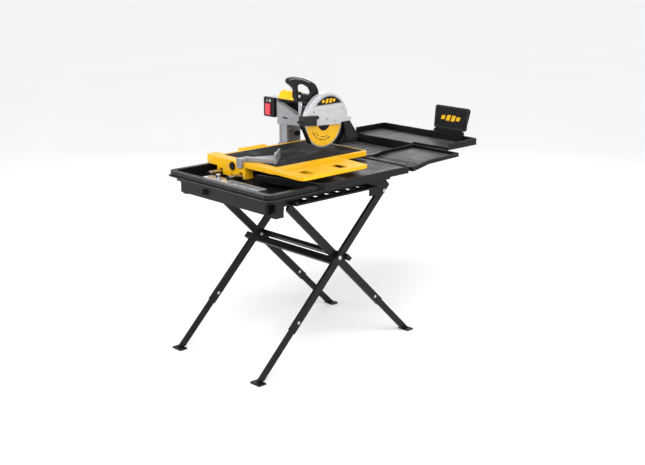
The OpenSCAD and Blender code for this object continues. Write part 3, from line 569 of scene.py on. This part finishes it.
def arc(centre, radius, start, end, count, place):
    """Points on an arc, degrees; place(u, v) lifts them to the row frame."""
    turns = [math.radians(start + (end - start) * i / (count - 1)) for i in range(count)]
    return [place(centre[0] + radius * math.cos(a), centre[1] + radius * math.sin(a)) for a in turns]


def rounded(low, high, radius, step=6):
    """Rounded rectangle outline in two dimensions."""
    out = []
    for cx, cy, start in ((high[0] - radius, high[1] - radius, 0), (low[0] + radius, high[1] - radius, 90),
                          (low[0] + radius, low[1] + radius, 180), (high[0] - radius, low[1] + radius, 270)):
        for i in range(step + 1):
            a = math.radians(start + 90 * i / step)
            out.append((cx + radius * math.cos(a), cy + radius * math.sin(a)))
    return out


def on_x(x):
    """Places a point of Y and Z on the plane at x."""
    return lambda u, v: at(x, u, v)


X, Y, Z = Vector((1, 0, 0)), Vector((0, 1, 0)), Vector((0, 0, 1))

# --- cutting mat: raised ribs along the cut
lo, hi = span("cutting_mat")
blade_lo, blade_hi = span("blade")
slot_x = (blade_lo[0] + blade_hi[0]) / 2
bm = bmesh.new()
RIB_PITCH, RIB_FOOT, RIB_HEIGHT = 5.0, 2.4, 0.45
PLAIN_STRIP = (-197, -183)
x = lo[0] + 3.0
while x < hi[0] - 4.0:
    middle = x + RIB_FOOT / 2
    over_slot = abs(middle - slot_x) < 6
    if not over_slot and not PLAIN_STRIP[0] < middle < PLAIN_STRIP[1]:
        prism(bm, [(x, hi[2] - 0.1), (x + RIB_FOOT, hi[2] - 0.1), (x + 1.9, hi[2] + RIB_HEIGHT),
                   (x + 0.5, hi[2] + RIB_HEIGHT)], along_y, lo[1] + 4, hi[1] - 4)
    x += RIB_PITCH
add_piece("mat_ribs", bm, "cart", "mat_rubber", smooth=False)

# --- tub: moulded beads round the front lip, ribs on the sump, drain boss
lo, hi = span("tub")
front = lo[1] + 8
rim = hi[2]
half = hi[0] - 10


def lip(inset, z, rear, radius):
    """Path round the front of the tub, from rear on the left to rear on the right, its corners rounded."""
    left = [at(-half + inset, rear, z)]
    right = [at(half - inset, rear, z)]
    quarter = [math.radians(90 * i / 8) for i in range(9)]
    a = [at(-half + inset + radius - radius * math.cos(t), front + inset + radius - radius * math.sin(t), z)
         for t in quarter]
    b = [at(half - inset - radius + radius * math.sin(t), front + inset + radius - radius * math.cos(t), z)
         for t in quarter]
    return left + a + b + right


bm = bmesh.new()
for inset, drop, rear, corner, thick in ((0.4, 2.4, -232, 34, 0.0024), (-0.2, 12, -232, 34, 0.0017),
                                         (-9.0, 25, -140, 42, 0.0021)):
    tube(bm, lip(inset, rim - drop, rear, corner), thick)
add_piece("tub_lip_beads", bm, "saw_base", "rim_black")

bm = bmesh.new()
SUMP_SIDE, SUMP_FRONT = 315.5, -470
for y in (-448, -420, -392):
    slab(bm, (SUMP_SIDE, y - 2, 812), (SUMP_SIDE + 2, y + 2, 856))
add_piece("sump_ribs", bm, "saw_base", "tub_plastic", 0.6)

bm = bmesh.new()
lo, hi = span("drain_plug")
centre = at((lo[0] + hi[0]) / 2, SUMP_FRONT, (lo[2] + hi[2]) / 2)
PLUG_HOLE = 0.0150
lathe(bm, centre, -Y, [(PLUG_HOLE, 0.0), (0.0225, 0.0), (0.0225, 0.003), (0.0205, 0.0045), (0.0165, 0.0045),
                       (PLUG_HOLE, 0.0035), (PLUG_HOLE, 0.0)], 40)
add_piece("drain_boss", bm, "saw_base", "tub_plastic")

# --- catch trays: rolled rims, ribbed floors, floor panels with a wet film whose lighter grey is partly painted reflection
lo, hi = span("side_tray")
rim = hi[2]


def run(points, z):
    """Path of X and Y points, all at height z."""
    return [at(p[0], p[1], z) for p in points]


def softened(points, radius, closed=False):
    """Rounds the corners of a polyline."""
    step = 5
    out = []
    count = len(points)
    for i, p in enumerate(points):
        if not closed and i in (0, count - 1):
            out.append(p)
            continue
        a, b = Vector(points[i - 1]), Vector(points[(i + 1) % count])
        c = Vector(p)
        u, v = (a - c), (b - c)
        r = min(radius, u.length * 0.45, v.length * 0.45)
        start, end = c + u.normalized() * r, c + v.normalized() * r
        for k in range(step + 1):
            t = k / step
            out.append(tuple(start * (1 - t) ** 2 + c * 2 * t * (1 - t) + end * t ** 2))
    return out


TRAY_OUT, TRAY_REAR = 405.1, 384
side_edge = [(42, -279.5), (352, -210), (388.5, -192.5), (TRAY_OUT, -159), (TRAY_OUT, TRAY_REAR),
             (42, TRAY_REAR)]
bm = bmesh.new()
tube(bm, run(softened(side_edge, 16), rim - 1.6), 0.0028)
add_piece("side_tray_rim", bm, "tray_side", "rim_black")
bm = bmesh.new()
tube(bm, run([(406.4, -158), (406.4, TRAY_REAR)], rim - 14), 0.0012)
tube(bm, run([(60, -276.2), (352, -211)], rim - 14), 0.0012)
add_piece("side_tray_beads", bm, "tray_side", "rim_black")
SIDE_FLOOR = 913.0
bm = bmesh.new()
for k in range(9):
    y = 190 + 21 * k
    prism(bm, rounded((y - 3, SIDE_FLOOR), (y + 3, SIDE_FLOOR + 1.6), 0.7, 2), along_x, 150, 345)
add_piece("side_tray_ribs", bm, "tray_side", "tub_plastic")
# Floor panel: its lighter grey is partly painted reflection of the studio.
bm = bmesh.new()
prism(bm, rounded((146, 172), (349, 377), 8), at, SIDE_FLOOR, SIDE_FLOOR + 0.3)
add_piece("side_tray_floor_and_reflection", bm, "tray_side", "tray_floor_dark", smooth=False)

lo, hi = span("rear_right_tray")
bm = bmesh.new()
for x in (lo[0] + 2, hi[0] - 2):
    tube(bm, [at(x, 436, 901.5), at(x, 560, 920.6), at(x, 788, 924.6)], 0.0026)
tube(bm, [at(lo[0] + 2, 788.5, 924.3), at(hi[0] - 2, 788.5, 924.3)], 0.0026)
add_piece("rear_right_tray_rim", bm, "tray_rear_right", "rim_black")
# Floor panels: their lighter grey is partly painted reflection of the studio.
bm = bmesh.new()
prism(bm, [(566, 904.6), (566, 905.0), (783, 910.4), (783, 910.0)], along_x, 71, 379)
prism(bm, [(456, 884.6), (456, 885.0), (548, 902.9), (548, 902.5)], along_x, 71, 379)
add_piece("rear_right_tray_floor_and_reflection", bm, "tray_rear_right", "tray_floor", smooth=False)
bm = bmesh.new()
for k in range(5):
    y = 462 + 16 * k
    z = 886.3 + 3.1 * k
    prism(bm, rounded((y - 2.5, z - 0.6), (y + 2.5, z + 1.2), 0.8, 2), along_x, 84, 366)
add_piece("rear_right_tray_ribs", bm, "tray_rear_right", "tub_plastic")

# Floors of the low part and the high part of the rear tray.
REAR_LOW, REAR_HIGH = 880.0, 928.0
lo, hi = span("rear_tray")
bm = bmesh.new()
tube(bm, run([(lo[0] + 2, 438), (lo[0] + 2, 738)], 911), 0.0026)
back = [(lo[0] + 2, 806), (lo[0] + 2, hi[1] - 8), (hi[0] - 2, hi[1] - 8), (hi[0] - 2, 802)]
tube(bm, run(softened(back, 14), 958.6), 0.0026)
tube(bm, run([(lo[0] + 2, 802), (hi[0] - 4, 802)], 926.5), 0.0020)
add_piece("rear_tray_rim", bm, "tray_rear", "rim_black")
# Floor panels: their lighter grey is partly painted reflection of the studio.
bm = bmesh.new()
prism(bm, rounded((lo[0] + 5, 808), (hi[0] - 5, 1003), 6), at, REAR_HIGH, REAR_HIGH + 0.4)
prism(bm, rounded((lo[0] + 5, 442), (53, 796), 6), at, REAR_LOW, REAR_LOW + 0.4)
add_piece("rear_tray_floor_and_reflection", bm, "tray_rear", "tray_floor", smooth=False)
bm = bmesh.new()
for k in range(7):
    x = -330 + 58 * k
    prism(bm, rounded((x - 3, REAR_LOW + 0.2), (x + 3, REAR_LOW + 1.8), 0.7, 2), along_y, 462, 778)
for k in range(6):
    y = 826 + 32 * k
    prism(bm, rounded((y - 2.5, REAR_HIGH + 0.2), (y + 2.5, REAR_HIGH + 1.6), 0.6, 2), along_x, -352, -200)
add_piece("rear_tray_ribs", bm, "tray_rear", "tub_plastic")

# --- splash flap: raised border in a lighter grey that paints its highlight, stops and a plain mark of slanted bars
# The board's hinge line, the angle that it leans back and its thickness.
FLAP_Y, FLAP_Z, LEAN, FLAP_T = 1035.0, 972.0, math.radians(8), 7.0


def on_flap(u, v, w):
    """u across, v up the board, w out of its front face."""
    y = -FLAP_T / 2 - w
    return at(u, FLAP_Y + y * math.cos(LEAN) + v * math.sin(LEAN),
              FLAP_Z - y * math.sin(LEAN) + v * math.cos(LEAN))


def ring_piece(bm, outer, inner, place, low, high):
    """Closed frame between two outlines with the same number of points."""
    count = len(outer)
    rows = [[bm.verts.new(place(u, v, w)) for u, v in pts] for pts, w in
            ((outer, low), (outer, high), (inner, high), (inner, low))]
    for r in range(4):
        a, b = rows[r], rows[(r + 1) % 4]
        for i in range(count):
            j = (i + 1) % count
            bm.faces.new((a[i], a[j], b[j], b[i]))


def slanted_bars(bm, heights, first, pitch, width, slant, place, low, high):
    """Plain mark: a row of leaning bars; first is the left of the first foot and the middle height."""
    left, middle = first
    for k, height in enumerate(heights):
        u = left + pitch * k
        lean = height * slant
        foot, head = middle - height / 2, middle + height / 2
        bar = [(u, foot), (u + width, foot), (u + width + lean, head), (u + lean, head)]
        prism(bm, bar, place, low, high)


# The raised border is real; its lighter grey is a painted highlight.
bm = bmesh.new()
ring_piece(bm, rounded((2, 12), (234, 135), 13), rounded((13, 22), (225, 124), 9), on_flap, -0.5, 3.2)
add_piece("flap_border_highlight", bm, "flap", "grey_plastic", 1.1)
bm = bmesh.new()
for a, b in ((18, 74), (150, 212)):
    prism(bm, [(a, 131.5), (b, 131.5), (b - 5, 135.6), (a + 5, 135.6)], on_flap, -6.5, 5.0)
add_piece("flap_stops", bm, "flap", "black_plastic", 0.8)
bm = bmesh.new()
slanted_bars(bm, (22, 32, 32, 22), (44, 72), 35, 25, 0.32, on_flap, -0.2, 0.7)
add_piece("flap_mark", bm, "flap", "yellow_plastic", 0.25)

# --- guard: rolled edge, badge mark, heads for its screws, flutes in its face below the badge
gx = span("blade_guard")[1][0]
GUARD_CENTRE = (270.0, 1093.0)
bm = bmesh.new()
tube(bm, arc(GUARD_CENTRE, 139.0, 14, 172, 72, on_x(gx - 0.2)), 0.0017)
tube(bm, arc(GUARD_CENTRE, 146.6, 8, 174, 72, on_x(gx - 2.6)), 0.0024)
add_piece("guard_rolled_edge", bm, "head", "silver_paint")
bm = bmesh.new()
face = span("guard_badge")[1][0]
slanted_bars(bm, (14, 22, 22, 14), (232, 1201), 25, 16, 0.3, along_x, face - 0.2, face + 0.5)
add_piece("badge_mark", bm, "head", "yellow_plastic", 0.2)
bm = bmesh.new()
tube(bm, arc((282, 1108), 116.6, 40, 140, 40, on_x(face)), 0.0009)
tube(bm, [at(face, 192, 1183), at(face, 371, 1183)], 0.0009)
add_piece("badge_rim", bm, "head", "silver_paint")
bm = bmesh.new()
sx = span("guard_screws")[1][0]
for y, z in ((272, 1109), (178, 1155), (376, 1155), (324, 1095)):
    screw(bm, at(sx - 0.2, y, z), X, 0.0048, 0.0018)
add_piece("guard_screw_heads", bm, "head", "zinc")
bm = bmesh.new()
for k in range(3):
    z = 1160 - 9 * k
    tube(bm, [at(gx - 0.3, 202 + 4 * k, z), at(gx - 0.3, 352 - 4 * k, z)], 0.0011)
add_piece("guard_flutes", bm, "head", "silver_paint")

# --- blade: printed marks and a rotation arrow, without lettering
bm = bmesh.new()
bx = blade_hi[0] - 0.35
blade_y = (blade_lo[1] + blade_hi[1]) / 2
blade_z = (blade_lo[2] + blade_hi[2]) / 2
PRINT = 0.12


def on_blade(radius, degrees, w):
    """Polar point about the blade's axis, on the plane at X = w."""
    a = math.radians(degrees)
    return at(w, blade_y + radius * math.cos(a), blade_z + radius * math.sin(a))


# Printed arcs as (first angle, last angle) in degrees, in an outer and an inner ring.
OUTER_RING, INNER_RING = (85, 90), (71, 74)
STEPS = 8
for arcs, (inner, outer) in (
        (((208, 226), (230, 240), (246, 262), (268, 276), (282, 300)), OUTER_RING),
        (((216, 244), (252, 292)), INNER_RING),
        (((20, 60), (70, 88), (100, 140)), OUTER_RING),
        (((30, 70), (84, 128)), INNER_RING)):
    for start, end in arcs:
        pts = [(inner, start + (end - start) * i / STEPS) for i in range(STEPS + 1)]
        pts += [(outer, end - (end - start) * i / STEPS) for i in range(STEPS + 1)]
        prism(bm, pts, on_blade, bx, bx + PRINT)
prism(bm, [(102, 150), (112, 150), (107, 158)], on_blade, bx, bx + PRINT)
pts = [(105, 110 + 4 * i) for i in range(11)] + [(109, 150 - 4 * i) for i in range(11)]
prism(bm, pts, on_blade, bx, bx + PRINT)
add_piece("blade_marks", bm, "arbor", "grey_plastic", smooth=False)

# --- motor cover: raised bands, end screws, and black bars that paint the shade of side vents
lo, hi = span("motor_cover")
MOTOR_Z = 1184.0
my = (lo[1] + hi[1]) / 2
mr = hi[2] - MOTOR_Z
bm = bmesh.new()
for k in range(4):
    x = hi[0] - 16 - 9 * k
    tube(bm, arc((my, MOTOR_Z), mr - 0.1, 28, 152, 30, on_x(x)), 0.0012)
tube(bm, arc((my, MOTOR_Z), mr + 0.2, 2, 178, 40, on_x(hi[0] - 2.5)), 0.0024)
tube(bm, arc((my, MOTOR_Z), mr + 0.1, 2, 178, 40, on_x(lo[0] + 11)), 0.0014)
add_piece("motor_cover_bands", bm, "head", "yellow_plastic")
bm = bmesh.new()
for k in range(5):
    a = math.radians(30 + 30 * k)
    c = at(lo[0] - 0.2, my + 24 * math.cos(a), MOTOR_Z + 24 * math.sin(a))
    screw(bm, c + X * 0.0006, -X, 0.0030, 0.0011)
add_piece("motor_end_screws", bm, "head", "zinc")
# Painted shade: black bars on the cover's sides stand in for the shaded openings of vent slots.
bm = bmesh.new()
for side in (-1, 1):
    for k in range(6):
        x = lo[0] + 24 + 16 * k
        wall = my + side * (mr - 3.0)
        slab(bm, (x, wall - 2.0, MOTOR_Z - 14), (x + 9, wall + 2.0, MOTOR_Z - 5))
add_piece("motor_vent_shade_bars", bm, "head", "black_plastic", 0.8)

# --- belt case: cover plate and its screws
bm = bmesh.new()
outline = arc((262, MOTOR_Z), 40, 0, 180, 25, lambda u, v: (u, v))
outline += arc((260, 1089), 34, 180, 360, 25, lambda u, v: (u, v))
prism(bm, outline, along_x, -98.3, -96.4)
add_piece("belt_cover", bm, "head", "black_plastic", 0.9)
bm = bmesh.new()
for y, z in ((228, 1200), (296, 1200), (230, 1130), (291, 1130)):
    screw(bm, at(-96.5, y, z), X, 0.0042, 0.0018)
add_piece("belt_cover_screws", bm, "head", "zinc")

# --- switch: two plain marks above the rocker, and the ribs on it
bm = bmesh.new()
prism(bm, rounded((-483, 1155), (-480, 1169), 0.8, 3), along_y, 229.4, 230.4)
ring_piece(bm, rounded((-465, 1155), (-451, 1169), 6.9, 8), rounded((-462, 1158), (-454, 1166), 3.9, 8),
           along_y, 229.4, 230.4)
add_piece("switch_marks", bm, "arm_body", "white_plastic", smooth=False)
bm = bmesh.new()
for z in (1103, 1112):
    prism(bm, rounded((-480, z), (-464, z + 4), 1.6, 3), along_y, 223.2, 224.5)
add_piece("rocker_ribs", bm, "paddle", "red_plastic", 0.4)

# --- handle: grey strip let into the side under the top edge as a painted highlight, and a bright cap in the locking knob
hi = span("handle")[1]
# Painted highlight: a light grey strip following the handle's top edge.
strip = [(60, 1321), (72, 1325.5), (104, 1325.5), (149, 1315.5), (200, 1297)]
bm = bmesh.new()
prism(bm, [(y, z + 1.6) for y, z in strip] + [(y - 1.0, z - 2.8) for y, z in reversed(strip)],
      along_x, hi[0] - 1.5, hi[0] + 0.5)
add_piece("handle_highlight_strip", bm, "head", "highlight_grey", 0.5)
bm = bmesh.new()
lathe(bm, at(span("head_lock_knob")[1][0] - 0.2, 106, 1238), X,
      [(0, 0), (0.0085, 0), (0.0085, 0.0008), (0.0070, 0.0016), (0.0026, 0.0016), (0.0026, 0.0008),
       (0, 0.0008)])
add_piece("lock_knob_cap", bm, "head", "zinc")

# --- column and arm: screws and ribs
bm = bmesh.new()
for y, z in ((318, 930), (394, 930), (318, 1006), (394, 1006)):
    screw(bm, at(-408.2, y, z), X, 0.0040, 0.0020)
for x in (-487, -410):
    for y in (300, 412):
        screw(bm, at(x, y, 858.8), Z, 0.0052, 0.0034)
add_piece("column_screws", bm, "saw_base", "zinc")
bm = bmesh.new()
for z in (1086, 1112, 1138):
    tube(bm, [at(-340.5, 206, z), at(-300, 186 + (1112 - z) * 0.02, z - (z - 1100) * 0.3)], 0.0022)
add_piece("arm_ribs", bm, "arm_body", "silver_casting")

# --- cart: screws, beam bosses, edge scale marks; ribs, border and slot collars of the extension
deck_front = span("cart_frame")[0][1]
bm = bmesh.new()
DECK_TOP, RAIL_TOP, EXTENSION_TOP = 954.0, 959.0, 953.0
for x in (-304, -90, -56, 93):
    for y in (-196, 371):
        screw(bm, at(x, y, DECK_TOP), Z, 0.0036, 0.0006)
for x, z in ((-352, 921), (-208, 921), (-128, 921), (-84, 884)):
    screw(bm, at(x, deck_front + 0.1, z), -Y, 0.0046, 0.0022)
add_piece("cart_screws", bm, "cart", "zinc")
lo, hi = span("fence_knob")
knob_x = (lo[0] + hi[0]) / 2
knob_z = (lo[2] + hi[2]) / 2
bm = bmesh.new()
lathe(bm, at(knob_x, deck_front + 0.5, knob_z), -Y,
      [(0.0260, 0), (0.0260, 0.0022), (0.0245, 0.0036), (0.0222, 0.0036), (0.0215, 0.0024), (0.0215, 0)], 48)
for x, z in ((-330, 938), (-150, 938), (-60, 938), (60, 938)):
    lathe(bm, at(x, deck_front + 0.5, z), -Y,
          [(0, 0), (0.0062, 0), (0.0056, 0.0016), (0.0030, 0.0016), (0.0026, 0.0006), (0, 0.0006)], 24)
add_piece("beam_bosses", bm, "cart", "yellow_paint")
bm = bmesh.new()
SCALE_X, TICK = -341, 0.9
for k in range(17):
    y = -50 + 8.5 * k
    length = 10 if k % 5 == 0 else 6
    mark = [(SCALE_X, y), (SCALE_X - length, y), (SCALE_X - length, y + TICK), (SCALE_X, y + TICK)]
    prism(bm, mark, at, RAIL_TOP, RAIL_TOP + 0.15)
add_piece("edge_scale", bm, "cart", "black_plastic", smooth=False)
bm = bmesh.new()
for x in (159, 171, 183, 195):
    prism(bm, rounded((x - 2.6, 948.9), (x + 2.6, 951.0), 0.9, 3), along_y, -228, 130)
add_piece("extension_ribs", bm, "extension", "yellow_paint")
bm = bmesh.new()
border = [(222, -262), (340, -262), (352, -250), (352, 124), (344, 136), (222, 150)]
tube(bm, run(softened(border, 8, True), EXTENSION_TOP - 0.1), 0.0010, closed=True)
add_piece("extension_border", bm, "extension", "yellow_paint")
bm = bmesh.new()
for cx, cy in ((283, -186), (286, 20)):
    ring_piece(bm, rounded((cx - 41, cy - 28), (cx + 41, cy + 28), 10),
               rounded((cx - 38.2, cy - 25.2), (cx + 38.2, cy + 25.2), 8), at,
               EXTENSION_TOP - 0.6, EXTENSION_TOP + 1)
add_piece("slot_collars", bm, "extension", "yellow_paint", 0.5)

# --- fence: locking screw and clamp screws
bm = bmesh.new()
lathe(bm, at(-8, -118, 988.4), Z, [(0, 0), (0.0115, 0), (0.0115, 0.0015), (0.0090, 0.003), (0.0090, 0.0075),
                                   (0.0076, 0.0092), (0.0034, 0.0092), (0.0034, 0.0040), (0, 0.0040)], 32)
add_piece("fence_screw", bm, "fence", "zinc")
bm = bmesh.new()
for x in (-118, -94):
    screw(bm, at(x, -234, 972), Z, 0.0050, 0.0026)
add_piece("fence_clamp_screws", bm, "fence", "zinc")

# --- crossbar and rails: adjusting screws, rings of the locking post, end caps
bm = bmesh.new()
for x in (-222, -186, -110, -78):
    screw(bm, at(x, -372, 881.8), Z, 0.0062, 0.0032)
add_piece("crossbar_screws", bm, "saw_base", "zinc")
bm = bmesh.new()
POST_R = 0.0112
POST = (-150, -368)
lathe(bm, at(*POST, 882), Z,
      [(POST_R, 0), (0.0150, 0), (0.0150, 0.004), (0.0125, 0.0055), (POST_R, 0.0055)], 36)
lathe(bm, at(*POST, 898), Z, [(POST_R, 0), (0.0128, 0.001), (0.0128, 0.0045), (POST_R, 0.0055)], 36)
add_piece("crossbar_post_rings", bm, "saw_base", "steel")
bm = bmesh.new()
for x in (-262, -108):
    lathe(bm, at(x, -340, 886), -Y, [(0, 0), (0.0108, 0), (0.0108, 0.003), (0.0085, 0.0055), (0, 0.0055)], 32)
add_piece("rail_caps", bm, "saw_base", "black_plastic")

# --- stand: plugs in the open tube ends, weld beads, socket heads
ANGLE = math.radians(44.5)
CROSSING_Z = 508


def leg_point(x, along, normal, lean):
    """Point along a leg and square to it, from the crossing; lean is 1 on the outer legs, -1 on the inner."""
    return at(x, lean * (along * math.cos(ANGLE) - normal * math.sin(ANGLE)),
              CROSSING_Z + along * math.sin(ANGLE) + normal * math.cos(ANGLE))


def outer_point(x, along, normal):
    return leg_point(x, along, normal, 1)


def inner_point(x, along, normal):
    return leg_point(x, along, normal, -1)


# Middle of the leg tubes across the stand, height of the weld beads over it, place of the leg bolts along it.
OUTER_X, INNER_X = 307, 286
SEAM = 20.3
LEG_BOLT = -381

for body, place in (("outer_legs", outer_point), ("inner_legs", inner_point)):
    kind = body.split("_")[0]
    bm = bmesh.new()
    for side in (-1, 1):
        low, high = sorted((side * 328.0, side * 332.5))
        prism(bm, rounded((-55.4, 20.6), (-22.6, 39.4), 2.5, 4), lambda u, v, w: place(w, u, v), low, high)
    add_piece(kind + "_bar_plugs", bm, body, "black_plastic", 0.9)
    bm = bmesh.new()
    leg_x = OUTER_X if kind == "outer" else INNER_X
    for side in (-1, 1):
        for edge in (-8.6, 8.6):
            pts = [place(side * leg_x + edge, -56.6 + 35.2 * i / 16, SEAM) for i in range(17)]
            tube(bm, pts, 0.0022, sides=8, wobble=lambda i: 0.86 + 0.2 * math.sin(i * 2.4))
        for along in (-56.8, -21.2):
            pts = [place(side * leg_x - 8 + 16 * i / 9, along, SEAM) for i in range(10)]
            tube(bm, pts, 0.0022, sides=8, wobble=lambda i: 0.86 + 0.2 * math.sin(i * 2.7))
    add_piece(kind + "_weld_beads", bm, body, "black_steel")
    bm = bmesh.new()
    outside = leg_x + 8 + 3.4
    for side in (-1, 1):
        screw(bm, place(side * outside, LEG_BOLT, 0), X * side, 0.0066, 0.0020)
        if kind == "outer":
            screw(bm, place(side * 318.9, 0, 0), X * side, 0.0092, 0.0024)
    add_piece(kind + "_socket_heads", bm, body, "zinc")

bm = bmesh.new()
lo, hi = span("top_hinge_bolts")
for side in (-1, 1):
    screw(bm, at(side * (hi[0] - 0.1), (lo[1] + hi[1]) / 2, (lo[2] + hi[2]) / 2), X * side, 0.0084, 0.0024)
add_piece("hinge_socket_heads", bm, "saw_base", "zinc")

# --- foot plates: raised edge on each
for body, sign, foot_x in (("outer_legs", -1, OUTER_X), ("inner_legs", 1, INNER_X)):
    bm = bmesh.new()
    for side in (-1, 1):
        cx, cy = side * foot_x, sign * 519.3
        ring_piece(bm, rounded((cx - 31, cy - 20.5), (cx + 31, cy + 20.5), 3),
                   rounded((cx - 28, cy - 17.5), (cx + 28, cy + 17.5), 2), at, 6.6, 8.0)
    add_piece(body + "_foot_edges", bm, body, "black_steel", 0.4)

# --- rear flap: fold ribs
bm = bmesh.new()
for k in range(4):
    z0 = 1060 - 20 * k
    tube(bm, [at(-55.8, 398 + 4 * k, z0), at(-55.8, 438 + 11 * k, z0 - 1)], 0.0012)
add_piece("rear_flap_ribs", bm, "head", "grey_plastic")

# ------------------------------------------------------------------ floor, light, camera

def stage_material(name, colour):
    """Pale, slightly uneven floor with a little light of its own."""
    n = Nodes(name)
    tone = n.mix(n.remap(n.noise(0.8, 3.0), 0.3, 0.7), linear(colour), linear("#fbfbfb"))
    n.shader.inputs["Emission Color"].default_value = (1.0, 1.0, 1.0, 1.0)
    n.shader.inputs["Emission Strength"].default_value = 0.07
    return n.close(tone, 0.75, 0.0, None, 0.0, 0.1, 0.2)


floor_mesh = bpy.data.meshes.new("studio_floor")
size = 90.0
corners = [(-size, -size, 0), (size, -size, 0), (size, size, 0), (-size, size, 0)]
floor_mesh.from_pydata(corners, [], [(0, 1, 2, 3)])
floor = bpy.data.objects.new("studio_floor", floor_mesh)
floor.location.z = -0.0005
floor_mesh.materials.append(stage_material("studio_floor", "#f7f7f7"))
bpy.context.scene.collection.objects.link(floor)

world = bpy.data.worlds.new("studio")
bpy.context.scene.world = world
world.use_nodes = True
sky = world.node_tree
background = sky.nodes["Background"]
background.inputs["Color"].default_value = (0.94, 0.96, 1.0, 1.0)
# A pale band round the horizon, softer overhead.
way = sky.nodes.new("ShaderNodeTexCoord")
parts = sky.nodes.new("ShaderNodeSeparateXYZ")
fall = sky.nodes.new("ShaderNodeMapRange")
sky.links.new(way.outputs["Generated"], parts.inputs[0])
sky.links.new(parts.outputs["Z"], fall.inputs["Value"])
for key, number in (("From Min", 0.03), ("From Max", 0.25), ("To Min", 0.86), ("To Max", 0.42)):
    fall.inputs[key].default_value = number
sky.links.new(fall.outputs["Result"], background.inputs["Strength"])


def area(name, place, target, width, height, power):
    """Rectangular lamp at place that faces target; metres and watts."""
    data = bpy.data.lights.new(name, "AREA")
    data.shape = "RECTANGLE"
    data.size, data.size_y = width, height
    data.energy = power
    light = bpy.data.objects.new(name, data)
    light.location = place
    light.rotation_euler = (Vector(target) - Vector(place)).to_track_quat("-Z", "Y").to_euler()
    bpy.context.scene.collection.objects.link(light)


sun = bpy.data.lights.new("soft_key", "SUN")
sun.energy = 2.35
sun.angle = math.radians(50)
sun_obj = bpy.data.objects.new("soft_key", sun)
sun_obj.rotation_euler = Vector((-0.72, 0.85, -0.98)).to_track_quat("-Z", "Y").to_euler()
bpy.context.scene.collection.objects.link(sun_obj)
area("top_box", (0.3, 0.2, 3.6), (0, 0, 0.9), 2.6, 3.2, 14)
area("front_strip", (-2.2, -3.0, 1.8), (0, 0, 0.8), 1.0, 2.4, 45)
area("right_strip", (3.4, 0.8, 1.6), (0, 0.1, 0.8), 0.9, 2.6, 45)
area("rear_box", (-2.6, 2.6, 2.6), (0, 0.2, 1.0), 2.6, 2.0, 35)

camera = bpy.data.cameras.new("camera")
camera.sensor_width = 36.0
camera.lens = 60.93
camera.clip_start, camera.clip_end = 0.1, 300.0
cam = bpy.data.objects.new("camera", camera)
azimuth, elevation = math.radians(46.635), math.radians(15.583)
cam.location = at(3939.07, -3537.49, 2046.81)
look = Vector((-math.sin(azimuth) * math.cos(elevation), math.cos(azimuth) * math.cos(elevation),
               -math.sin(elevation)))
cam.rotation_mode = "QUATERNION"
cam.rotation_quaternion = look.to_track_quat("-Z", "Y")
bpy.context.scene.collection.objects.link(cam)
bpy.context.scene.camera = cam
bpy.context.scene.view_settings.view_transform = "Standard"
